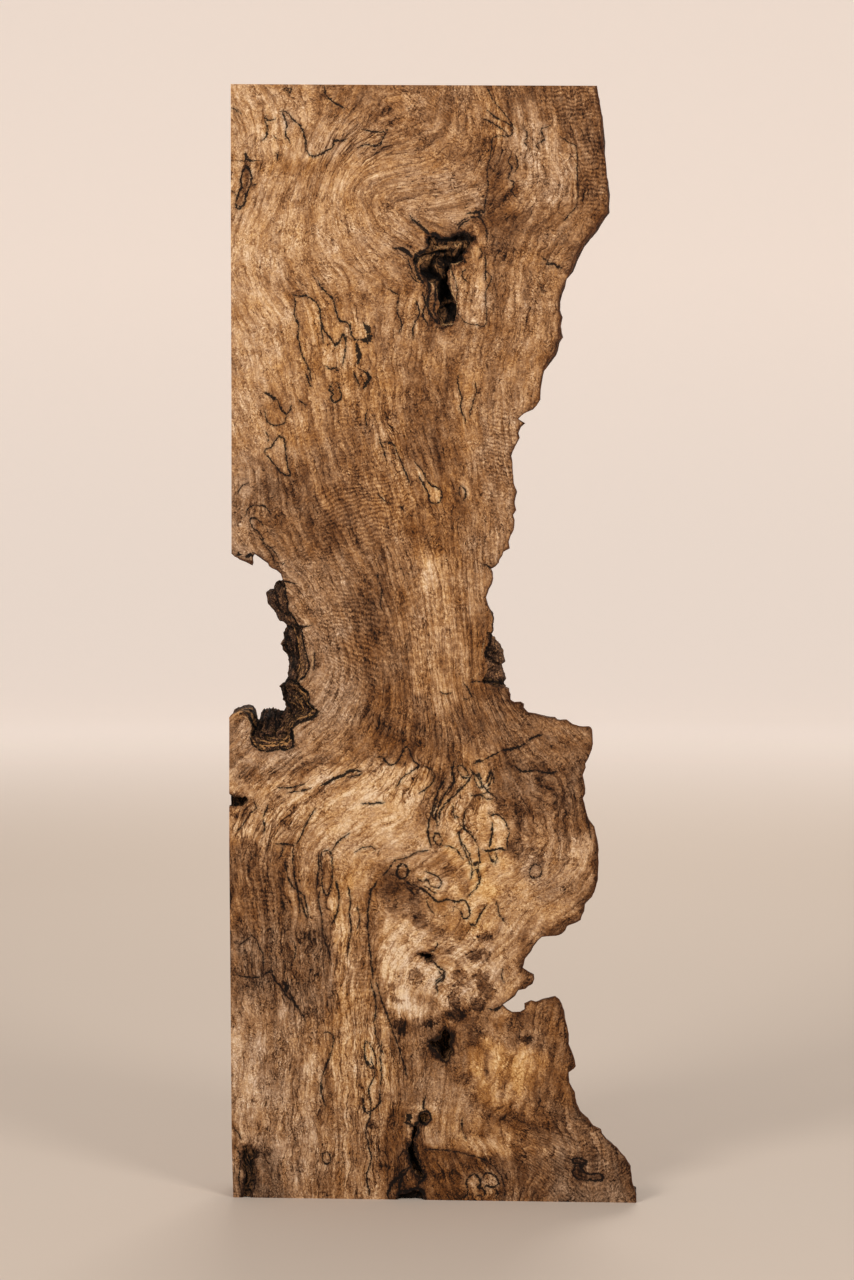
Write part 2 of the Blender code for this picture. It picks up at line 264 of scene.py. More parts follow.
def cutGrid(bm, faces, axis, places):
    # cuts the faces at each place along an axis, halving the list each time
    if not places or not faces:
        return faces
    middle = places[len(places) // 2]
    normal = Vector((0, 0, 0))
    normal[axis] = 1
    edges = {edge for face in faces for edge in face.edges}
    geom = bmesh.ops.bisect_plane(bm, geom=list(edges) + faces, dist=1e-6, plane_co=normal * middle,
                                  plane_no=normal)["geom"]
    pieces = [item for item in geom if isinstance(item, bmesh.types.BMFace)]
    low = [face for face in pieces if face.calc_center_bounds()[axis] < middle]
    high = [face for face in pieces if face.calc_center_bounds()[axis] >= middle]
    half = len(places) // 2
    return cutGrid(bm, low, axis, places[:half]) + cutGrid(bm, high, axis, places[half + 1:])


def steps(low, high, size):
    count = int((high - low) / size)
    return [(low + (index + 0.5) * size) / 1000 for index in range(count)]


def makeSlabMesh():
    bm = bmesh.new()
    bm.from_mesh(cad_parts["burl_slab"].data)
    bmesh.ops.remove_doubles(bm, verts=bm.verts, dist=2e-5)
    bm.normal_update()
    for face in bm.faces:
        face.material_index = skinOf(face)
    flat = [edge for edge in bm.edges if all(face.material_index == sawn for face in edge.link_faces)]
    bmesh.ops.dissolve_limit(bm, angle_limit=radians(0.4), edges=flat, verts=[], delimit={"MATERIAL"})
    print("merged copy of the solid:", len(bm.faces), "faces")
    low, high = (corner * 1000 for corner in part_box("burl_slab"))
    faces = cutGrid(bm, list(bm.faces), 2, steps(low.z, high.z, slab["frontCell"]))
    flats = [face for face in faces if abs(face.normal.y) > slab["squarely"] and face.material_index == sawn]
    front = [face for face in flats if face.normal.y < 0]
    back = [face for face in flats if face.normal.y > 0]
    flats = set(flats)
    sides = [face for face in faces if face not in flats]
    fine = [face for face in sides if isFine(face)]
    chosen = set(fine)
    coarse = [face for face in sides if face not in chosen]
    coarse = cutGrid(bm, coarse, 1, steps(low.y, high.y, slab["sideCell"]))
    level = [face for face in coarse if abs(face.normal.z) > 0.45]
    cutGrid(bm, level, 0, steps(low.x, high.x, slab["sideCell"]))
    for axis in (2, 1, 0):
        fine = cutGrid(bm, fine, axis, steps(low[axis], high[axis], slab["fineCell"]))
    cutGrid(bm, front, 0, steps(low.x, high.x, slab["frontCell"]))
    cutGrid(bm, back, 0, steps(low.x, high.x, slab["backCell"]))
    bmesh.ops.remove_doubles(bm, verts=bm.verts, dist=3e-5)
    bmesh.ops.dissolve_degenerate(bm, edges=bm.edges, dist=1e-5)
    bmesh.ops.triangulate(bm, faces=bm.faces)
    print("slab cut into cells:", len(bm.faces), "faces,", len(bm.verts), "corners")
    return bm


def isFine(face):
    if face.material_index == hollow:
        return True
    place = inMillimetres([face.calc_center_median()])
    return face.material_index == bark and place[0, 1] < 40 and thickBark(place)[0] > 0.5


# cracks between the plates of thick bark: their points, as x and z in turn
barkCracks = [
    (20, 390, 30, 388.6, 38, 387.4, 46, 386.6), (36, 386, 34, 376, 36, 366),
    (44, 386, 43, 374, 45, 362, 42, 351), (30, 352, 38, 351, 46, 350, 50, 353),
    (34, 350, 33, 340, 37, 332, 42, 326), (40, 345, 47, 340, 52, 334, 58, 332),
    (16, 336, 18.5, 328, 18, 318), (31, 335, 31, 324, 27, 315), (14, 316, 24, 314, 36, 316),
    (166, 353, 174, 352, 184, 351), (170, 372, 176, 366, 183, 361), (174, 384, 173, 376, 170, 368),
    (29, 419, 33, 416, 36, 416), (24, 413, 29, 409, 31, 402), (28, 404, 32, 398, 38, 396),
    (33, 383, 38, 378, 40, 370, 39, 360), (32, 374, 38, 368, 41, 358), (21, 333, 23, 326, 22, 319),
    (26, 334, 27, 326, 29, 319), (168, 380, 172, 374, 178, 370),
]

# outlines of the deepest hollows in the floor of the knot hole, sunk further and painted black as shade, as x
# and z in turn
blackShadeOutlines = [
    (131, 650.4, 134, 651, 140, 648, 146, 647.4, 152, 651.6, 158, 652, 163, 650, 162.6, 646.6, 160, 645.4,
     158.4, 648, 154, 649, 149, 646.4, 143, 646, 138, 647.4, 133.5, 648.6, 132.8, 644, 131, 644),
    (150.6, 648, 153, 650, 157, 649.6, 157.6, 647, 154.6, 645.6, 152, 646),
    (122, 634.6, 126, 636.8, 133, 638.2, 139, 640, 144, 640.4, 144, 639.2, 138, 638.4, 131, 636.8,
     125, 634.2, 124, 631, 121, 631),
    (138, 634.4, 143, 636.2, 149, 636, 152, 640.6, 156.6, 641.4, 158, 637, 154, 632, 146, 629.6,
     141, 632.4),
    (122.6, 630.6, 125, 627.4, 129, 626.8, 132.4, 631, 134, 634, 134.6, 630, 137, 625.4, 140, 623,
     139.4, 619, 136.4, 621.4, 131, 619.6, 127, 623),
    (143.4, 629, 146.6, 629, 147, 620, 148.4, 611, 145, 608, 142, 611, 139.4, 604, 137, 606, 137.4, 614,
     139.4, 620, 142.4, 621.6),
    (142.6, 603, 145, 599, 143, 592.4, 145.4, 592, 148, 597, 148.6, 591, 152, 592.4, 151.6, 600,
     148, 605.6), (132.6, 607, 134.6, 606, 135, 600, 133, 599),
    (133.4, 597, 136.4, 596, 136, 592, 133.6, 593),
]
# how light the folds in the pockets and the plates of bark are: shade, half width, then the points
pocketFolds = [
    (0.46, 3.4, 134, 646, 139, 644.6, 144, 643.6), (0.5, 1.4, 134, 642.6, 140, 641.6, 147, 643),
    (0.56, 2.2, 149, 643.6, 153, 644, 158, 642.6), (0.56, 1.6, 126, 636, 132, 638, 138, 640),
    (0.44, 2.2, 143, 638.4, 150, 638.4, 154, 638), (0.56, 3.4, 125, 632, 128, 630.6, 131, 632),
    (0.38, 3.4, 136, 633, 140, 630, 143, 625), (0.5, 1.4, 137, 629, 141, 624, 142, 621),
    (0.44, 2, 133, 618, 135, 614, 137, 609), (0.36, 2.8, 132, 612, 133, 606, 134, 600),
    (0.36, 3, 136, 603, 138, 598, 139, 592), (0.36, 3.4, 141, 607, 145, 603, 147, 596),
    (0.4, 1.6, 141, 614, 145, 612, 147, 608), (0.34, 2, 128, 622, 131, 616, 130, 608),
    # the darkest fold, at x 116 to 124 in the foot's pocket, is painted shade on that pocket's floor
    (0.48, 3, 142, 114, 145, 106, 143, 99), (0.5, 2, 135, 106.6, 139, 107), (0.1, 6, 116, 1, 124, 3),
    (0.3, 1.6, 121, 36, 123, 44), (0.3, 3, 10, 10, 11, 28), (0.6, 2.6, 130, 56, 131.6, 56),
    (0.62, 3.6, 177, 382, 178, 373, 180, 368), (0.6, 3, 174, 364, 178, 362), (0.58, 3, 176, 358, 181, 357),
    (0.2, 2, 171, 354, 181, 352.6), (0.48, 5, 27, 410, 33, 404, 36, 396), (0.3, 2, 31, 419, 35, 417),
    (0.6, 3.2, 47, 382, 48.6, 374, 49.6, 364, 46, 355), (0.42, 4, 36, 384, 37, 372, 39, 358),
    (0.34, 5, 22, 330, 30, 328, 34, 322),
]


def raiseFloors(bm, skins):
    # brings the floors of the knot hole and of the foot's pockets up towards the front face
    places = inMillimetres([vert.co for vert in bm.verts])
    x, z = places[:, 0], places[:, 2]
    onSawn = np.array([sawn in kinds for kinds in skins])
    inHollow = np.array([hollow in kinds for kinds in skins])
    cornerX, cornerZ = slab["knotCorner"]
    inKnot = inHollow & (x > cornerX) & (z > cornerZ)
    atFoot = inHollow & ((z < 9.5) & (x > 108) & (x < 133) | (z < 38.5) & (x > 4) & (x < 18))
    coreX, coreZ, wide, high = slab["knotCore"]
    core = np.exp(-((x - coreX) / wide) ** 2 - ((z - coreZ) / high) ** 2)
    share = slab["floorShare"] + slab["coreShare"] * core
    share = share + 0.07 * softNoise(places, 8, 6) + 0.04 * softNoise(places, 3.5, 7)
    share += 0.13 * np.clip(insideOutlines(places[:, [0, 2]], blackShadeOutlines) / 2.5 + 0.3, 0, 1)
    share = np.where(atFoot, slab["footShare"], share)
    for index in np.flatnonzero((inKnot | atFoot) & ~onSawn):
        bm.verts[index].co.y = (slab["frontY"] + places[index, 1] * share[index]) / 1000


def roughen(bm):
    # ridges on the bark and in the pockets; the sawn faces stay in their planes
    bm.verts.ensure_lookup_table()
    skins = [{face.material_index for face in vert.link_faces} for vert in bm.verts]
    raiseFloors(bm, skins)
    places = inMillimetres([vert.co for vert in bm.verts])
    bm.normal_update()
    rough = [index for index, kinds in enumerate(skins) if kinds & {bark, hollow}]
    tree = KDTree(len(rough))
    outward = np.zeros((len(rough), 3))
    for order, index in enumerate(rough):
        tree.insert(bm.verts[index].co, order)
        for face in bm.verts[index].link_faces:
            if face.material_index != sawn:
                outward[order] += np.array(face.normal) * face.calc_area()
    tree.balance()
    outward /= np.linalg.norm(outward, axis=1)[:, None] + 1e-12
    spots = places[rough]
    inHollow = np.array([hollow in skins[index] for index in rough])
    thick = thickBark(spots)
    lumps = softNoise(spots, 7.0, 1) * 0.6 + softNoise(spots, 3.4, 2) * 0.45
    ridges = 1 - 2 * np.abs(softNoise(spots, 4.4, 5))
    pleats = softNoise(spots / (9.0, 3.4, 9.0), 1.0, 3)
    plates = softNoise(spots, 13.0, 4)
    crumbs = softNoise(spots, 2.3, 8)
    gaps = crackNearness(spots[:, [0, 2]])
    layers = 0.5 * plates + 0.5 * lumps + 0.4 * pleats + 0.45 * crumbs
    thickHeight = slab["notchDepth"] * layers - slab["crackDepth"] * gaps
    height = slab["barkDepth"] * lumps * (1 - thick) + thickHeight * thick
    height = np.where(inHollow, slab["pocketDepth"] * (0.7 * lumps + 0.6 * ridges), height) - 0.25
    moves = outward * height[:, None] / 1000
    for index, vert in enumerate(bm.verts):
        near = tree.find_n(vert.co, 3)
        nearest = near[0][2] * 1000
        if nearest > slab["rimReach"]:
            continue
        share = (1 - nearest / slab["rimReach"]) ** 2
        move = sum((Vector(moves[order]) for _, order, _ in near), Vector()) / len(near) * share
        for face in vert.link_faces:
            if face.material_index == sawn:
                move -= face.normal * move.dot(face.normal)
        if places[index][2] < 0.2:
            move.z = 0
        vert.co += move
    low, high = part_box("burl_slab")
    for vert in bm.verts:
        for axis in range(3):      # nothing leaves the solid's box
            vert.co[axis] = min(max(vert.co[axis], low[axis]), high[axis])
    bm.normal_update()
    print("bark and pockets roughened")


def crackNearness(places):
    # 1 in a crack of the bark, falling to 0 beside it
    result = np.zeros(len(places))
    for numbers in barkCracks:
        curve, ring = inkedLine(numbers)
        close = closeTo(curve, places, 5)
        if len(close):
            gap = np.abs(besideLine(places[close], curve, ring)[0])
            result[close] = np.maximum(result[close], np.exp(-(gap / 1.1) ** 2))
    return result


def thickBark(places):
    # 1 where the bark is thick and layered: in the left notch and the waist's hollow
    x, _, z = places.T
    edge, low, high = slab["notchBark"]
    notch = np.clip((edge - x) / 4, 0, 1) * np.clip((z - low) / 6, 0, 1) * np.clip((high - z) / 6, 0, 1)
    edge, low, high = slab["waistBark"]
    waist = np.clip((x - edge) / 4, 0, 1) * np.clip((z - low) / 4, 0, 1) * np.clip((high - z) / 8, 0, 1)
    return np.maximum(notch, waist)


# which way the fibres run, as angles in degrees (270 is straight down): x, z, angle
grainRuns = [
    (8, 738, 298), (28, 728, 304), (47, 712, 300), (30, 700, 290), (8, 700, 285), (14, 672, 262),
    (36, 680, 228), (60, 690, 222), (72, 702, 218), (88, 697, 182), (101, 692, 168), (115, 687, 160),
    (128, 695, 176), (75, 728, 250), (70, 742, 300), (95, 735, 215), (95, 715, 188), (120, 735, 200),
    (129, 715, 190), (143, 708, 225), (156, 700, 232), (168, 690, 240), (150, 735, 262), (165, 722, 300),
    (176, 739, 305), (187, 725, 300), (178, 700, 262), (176, 670, 255), (204, 690, 270), (197, 716, 262),
    (228, 708, 312), (213, 729, 275), (236, 735, 276), (246, 700, 273), (243, 672, 262), (228, 655, 232),
    (204, 650, 215), (192, 651, 235), (188, 628, 255), (180, 600, 268), (205, 620, 262), (213, 600, 250),
    (205, 575, 238), (190, 560, 250), (172, 565, 265), (20, 641, 272), (48, 650, 262), (75, 655, 280),
    (84, 672, 306), (96, 658, 300), (108, 640, 320), (120, 650, 325), (150, 660, 355), (138, 680, 172),
    (151, 682, 200), (14, 612, 318), (34, 604, 308), (50, 616, 300), (58, 590, 284), (82, 598, 290),
    (97, 585, 278), (45, 575, 282), (12, 581, 305), (28, 560, 300), (110, 600, 250), (120, 590, 252),
    (104, 560, 276), (161, 620, 265), (163, 600, 262), (143, 575, 262), (128, 570, 258), (8, 545, 302),
    (30, 541, 310), (8, 515, 312), (25, 510, 300), (52, 545, 288), (70, 530, 284), (55, 515, 296),
    (80, 500, 290), (96, 520, 290), (112, 506, 308), (122, 540, 284), (128, 490, 308), (100, 471, 286),
    (150, 530, 270), (151, 490, 274), (170, 530, 266), (178, 500, 268), (182, 471, 268), (28, 488, 312),
    (46, 470, 314), (60, 450, 312), (12, 470, 240), (10, 452, 300), (24, 438, 320), (82, 455, 296),
    (105, 445, 300), (130, 460, 282), (160, 450, 272), (174, 445, 250), (48, 405, 320), (62, 420, 312),
    (84, 402, 260), (110, 402, 306), (120, 420, 300), (135, 400, 275), (152, 410, 270), (168, 400, 268),
    (64, 375, 290), (90, 370, 268), (112, 375, 284), (135, 366, 268), (160, 370, 262), (84, 350, 232),
    (72, 338, 200), (52, 327, 197), (96, 327, 215), (118, 340, 262), (138, 330, 262), (150, 345, 268),
    (165, 335, 330), (188, 335, 330), (210, 325, 345), (203, 310, 10), (228, 312, 350), (232, 290, 300),
    (28, 302, 180), (10, 310, 250), (12, 292, 184), (52, 300, 205), (64, 291, 196), (95, 292, 196),
    (112, 300, 225), (122, 287, 220), (134, 286, 232), (150, 300, 262), (146, 278, 248), (165, 285, 270),
    (178, 292, 280), (196, 290, 330), (40, 276, 192), (64, 275, 204), (84, 277, 195), (98, 277, 214),
    (128, 270, 232), (146, 265, 250), (160, 262, 265), (14, 268, 232), (30, 262, 236), (50, 263, 228),
    (88, 262, 202), (110, 258, 215), (130, 252, 262), (186, 268, 295), (205, 262, 296), (225, 262, 292),
    (14, 250, 240), (34, 248, 248), (62, 250, 222), (88, 250, 215), (108, 249, 190), (148, 250, 285),
    (170, 250, 270), (62, 238, 232), (92, 238, 215), (112, 238, 195), (130, 234, 220), (148, 240, 305),
    (205, 240, 300), (232, 240, 285), (240, 220, 262), (96, 218, 256), (110, 228, 228), (120, 230, 196),
    (134, 216, 314), (125, 205, 300), (150, 212, 250), (160, 226, 242), (172, 215, 240), (185, 228, 235),
    (203, 224, 215), (215, 205, 208), (228, 204, 212), (195, 195, 225), (225, 192, 205), (160, 195, 262),
    (12, 222, 272), (30, 215, 278), (48, 215, 276), (62, 215, 268), (80, 205, 272), (96, 200, 266),
    (112, 200, 268), (140, 190, 280), (175, 195, 250), (10, 180, 275), (36, 175, 272), (60, 170, 270),
    (84, 175, 274), (100, 170, 276), (12, 150, 272), (40, 142, 290), (60, 140, 274), (86, 140, 272),
    (104, 140, 282), (120, 175, 190), (150, 170, 185), (180, 168, 186), (125, 145, 262), (150, 145, 180),
    (175, 140, 200), (192, 150, 195), (12, 110, 268), (30, 105, 276), (48, 120, 288), (60, 95, 268),
    (80, 100, 270), (98, 90, 276), (112, 110, 284), (116, 75, 280), (128, 100, 268), (144, 106, 268),
    (150, 85, 262), (170, 90, 230), (190, 82, 222), (170, 115, 240), (200, 120, 262), (216, 95, 268),
    (222, 115, 268), (222, 72, 285), (10, 60, 268), (30, 55, 272), (50, 60, 270), (70, 45, 274),
    (90, 50, 270), (104, 30, 262), (118, 50, 262), (135, 65, 262), (156, 50, 256), (180, 60, 205),
    (205, 60, 200), (200, 40, 240), (240, 46, 328), (222, 50, 300), (12, 15, 272), (35, 20, 270),
    (60, 15, 272), (85, 15, 268), (110, 10, 240), (122, 28, 262), (132, 26, 300), (145, 30, 345),
    (160, 31, 340), (176, 24, 325), (184, 12, 290), (165, 12, 300), (140, 10, 300), (200, 18, 225),
    (222, 20, 205), (240, 28, 240), (255, 28, 320), (262, 12, 295), (210, 5, 190),
]

# broad soft patches of the figure: x, z, half width, half height, tone (0 pale, 1 dark), warmth
# (-1 grey pink, 1 golden)
broadPatches = [
    (24, 728, 30, 26, 0.28, -0.1), (80, 738, 24, 12, 0.58, 0.1), (76, 716, 26, 10, 0.36, -0.3),
    (132, 740, 32, 12, 0.5, 0.1), (130, 712, 30, 14, 0.48, 0.1), (218, 740, 34, 12, 0.61, 0),
    (206, 700, 20, 28, 0.35, -0.35), (240, 695, 10, 38, 0.6, 0.1), (178, 690, 8, 32, 0.65, 0.5),
    (195, 655, 28, 14, 0.62, 0.05), (228, 655, 14, 12, 0.55, 0.1), (135, 678, 34, 12, 0.41, -0.3),
    (70, 680, 36, 16, 0.42, 0.2), (14, 690, 14, 24, 0.36, 0), (34, 648, 36, 20, 0.3, -0.05),
    (88, 650, 24, 20, 0.33, 0), (116, 640, 10, 20, 0.5, 0), (14, 605, 18, 30, 0.26, -0.1),
    (38, 625, 20, 12, 0.46, 0.2), (64, 592, 22, 30, 0.4, 0.45), (90, 615, 20, 22, 0.43, 0.15),
    (112, 600, 14, 28, 0.5, 0.1), (140, 575, 16, 14, 0.5, 0.1), (160, 606, 11, 20, 0.33, -0.1),
    (176, 610, 8, 34, 0.56, 0.1), (200, 605, 18, 34, 0.45, 0.1), (196, 568, 20, 18, 0.43, 0.1),
    (10, 535, 14, 30, 0.31, -0.05), (46, 535, 22, 24, 0.43, 0.35), (88, 545, 14, 14, 0.46, 0.5),
    (80, 512, 16, 26, 0.56, 0.2), (108, 525, 12, 30, 0.43, 0.4), (134, 525, 16, 28, 0.58, 0.15),
    (157, 515, 9, 44, 0.48, 0.5), (176, 510, 12, 44, 0.44, -0.25), (34, 478, 28, 26, 0.58, -0.15),
    (8, 470, 10, 26, 0.42, -0.7), (64, 462, 22, 24, 0.62, 0.1), (92, 478, 14, 30, 0.54, 0.2),
    (118, 480, 14, 20, 0.44, 0.25), (140, 460, 16, 20, 0.6, 0.6), (172, 455, 16, 18, 0.45, -0.1),
    (58, 395, 20, 34, 0.48, -0.45), (92, 390, 13, 44, 0.63, 0), (113, 392, 11, 40, 0.53, 0.1),
    (134, 395, 12, 42, 0.38, 0.1), (154, 392, 11, 34, 0.43, 0.15), (168, 370, 8, 16, 0.62, 0.5),
    (66, 342, 18, 20, 0.44, -0.5), (106, 322, 20, 18, 0.63, 0.5), (138, 335, 11, 22, 0.33, 0.1),
    (178, 332, 24, 16, 0.62, 0.05), (222, 312, 22, 14, 0.53, -0.1), (24, 304, 26, 12, 0.43, -0.6),
    (28, 286, 28, 6, 0.4, -0.2), (205, 288, 26, 12, 0.6, -0.3), (92, 268, 42, 20, 0.22, 0.1),
    (86, 246, 40, 12, 0.25, 0.1), (24, 256, 22, 18, 0.35, 0), (140, 270, 12, 22, 0.42, 0.25),
    (166, 268, 16, 22, 0.32, 0.35), (180, 250, 10, 12, 0.28, 0.2), (212, 262, 24, 14, 0.64, 0.1),
    (212, 238, 26, 12, 0.33, -0.3), (212, 218, 24, 14, 0.37, -0.3), (210, 196, 24, 10, 0.37, 0),
    (168, 222, 18, 18, 0.14, 0.7), (136, 224, 18, 12, 0.42, 0.2), (112, 208, 14, 12, 0.6, -0.1),
    (150, 196, 20, 12, 0.37, 0.4), (18, 210, 22, 30, 0.64, 0), (52, 212, 14, 30, 0.46, 0.15),
    (78, 208, 14, 28, 0.38, 0.45), (96, 200, 9, 26, 0.48, 0.3), (22, 160, 24, 22, 0.58, -0.7),
    (54, 155, 16, 28, 0.62, -0.5), (82, 152, 16, 30, 0.44, 0.3), (102, 150, 7, 24, 0.2, 0.05),
    (120, 158, 15, 23, 0.22, -0.55), (154, 158, 22, 20, 0.28, -0.35), (188, 165, 16, 20, 0.35, 0),
    (9, 98, 13, 26, 0.29, -0.6), (34, 100, 18, 26, 0.4, -0.5), (50, 92, 10, 24, 0.33, -0.3),
    (80, 95, 16, 28, 0.28, 0.2), (100, 92, 8, 28, 0.36, 0.4), (114, 95, 9, 26, 0.54, 0.2),
    (132, 95, 14, 22, 0.52, -0.3), (156, 105, 12, 22, 0.7, 0.25), (186, 90, 20, 20, 0.35, 0.85),
    (200, 114, 18, 8, 0.56, 0.05), (218, 115, 12, 22, 0.6, 0.2), (218, 80, 12, 18, 0.63, 0.5),
    (14, 45, 14, 14, 0.36, -0.5), (24, 16, 16, 18, 0.64, -0.8), (44, 36, 16, 34, 0.36, -0.4),
    (62, 30, 10, 28, 0.43, -0.1), (84, 34, 16, 34, 0.46, 0.1), (112, 28, 12, 26, 0.76, 0.5),
    (142, 54, 14, 12, 0.37, -0.15), (190, 50, 26, 12, 0.67, 0.6), (178, 36, 26, 5, 0.43, 0.4),
    (150, 18, 18, 14, 0.78, 0.8), (196, 16, 14, 16, 0.65, 0), (228, 50, 20, 14, 0.66, -0.3),
    (242, 26, 20, 16, 0.6, -0.5), (244, 8, 22, 8, 0.58, -0.8),
]

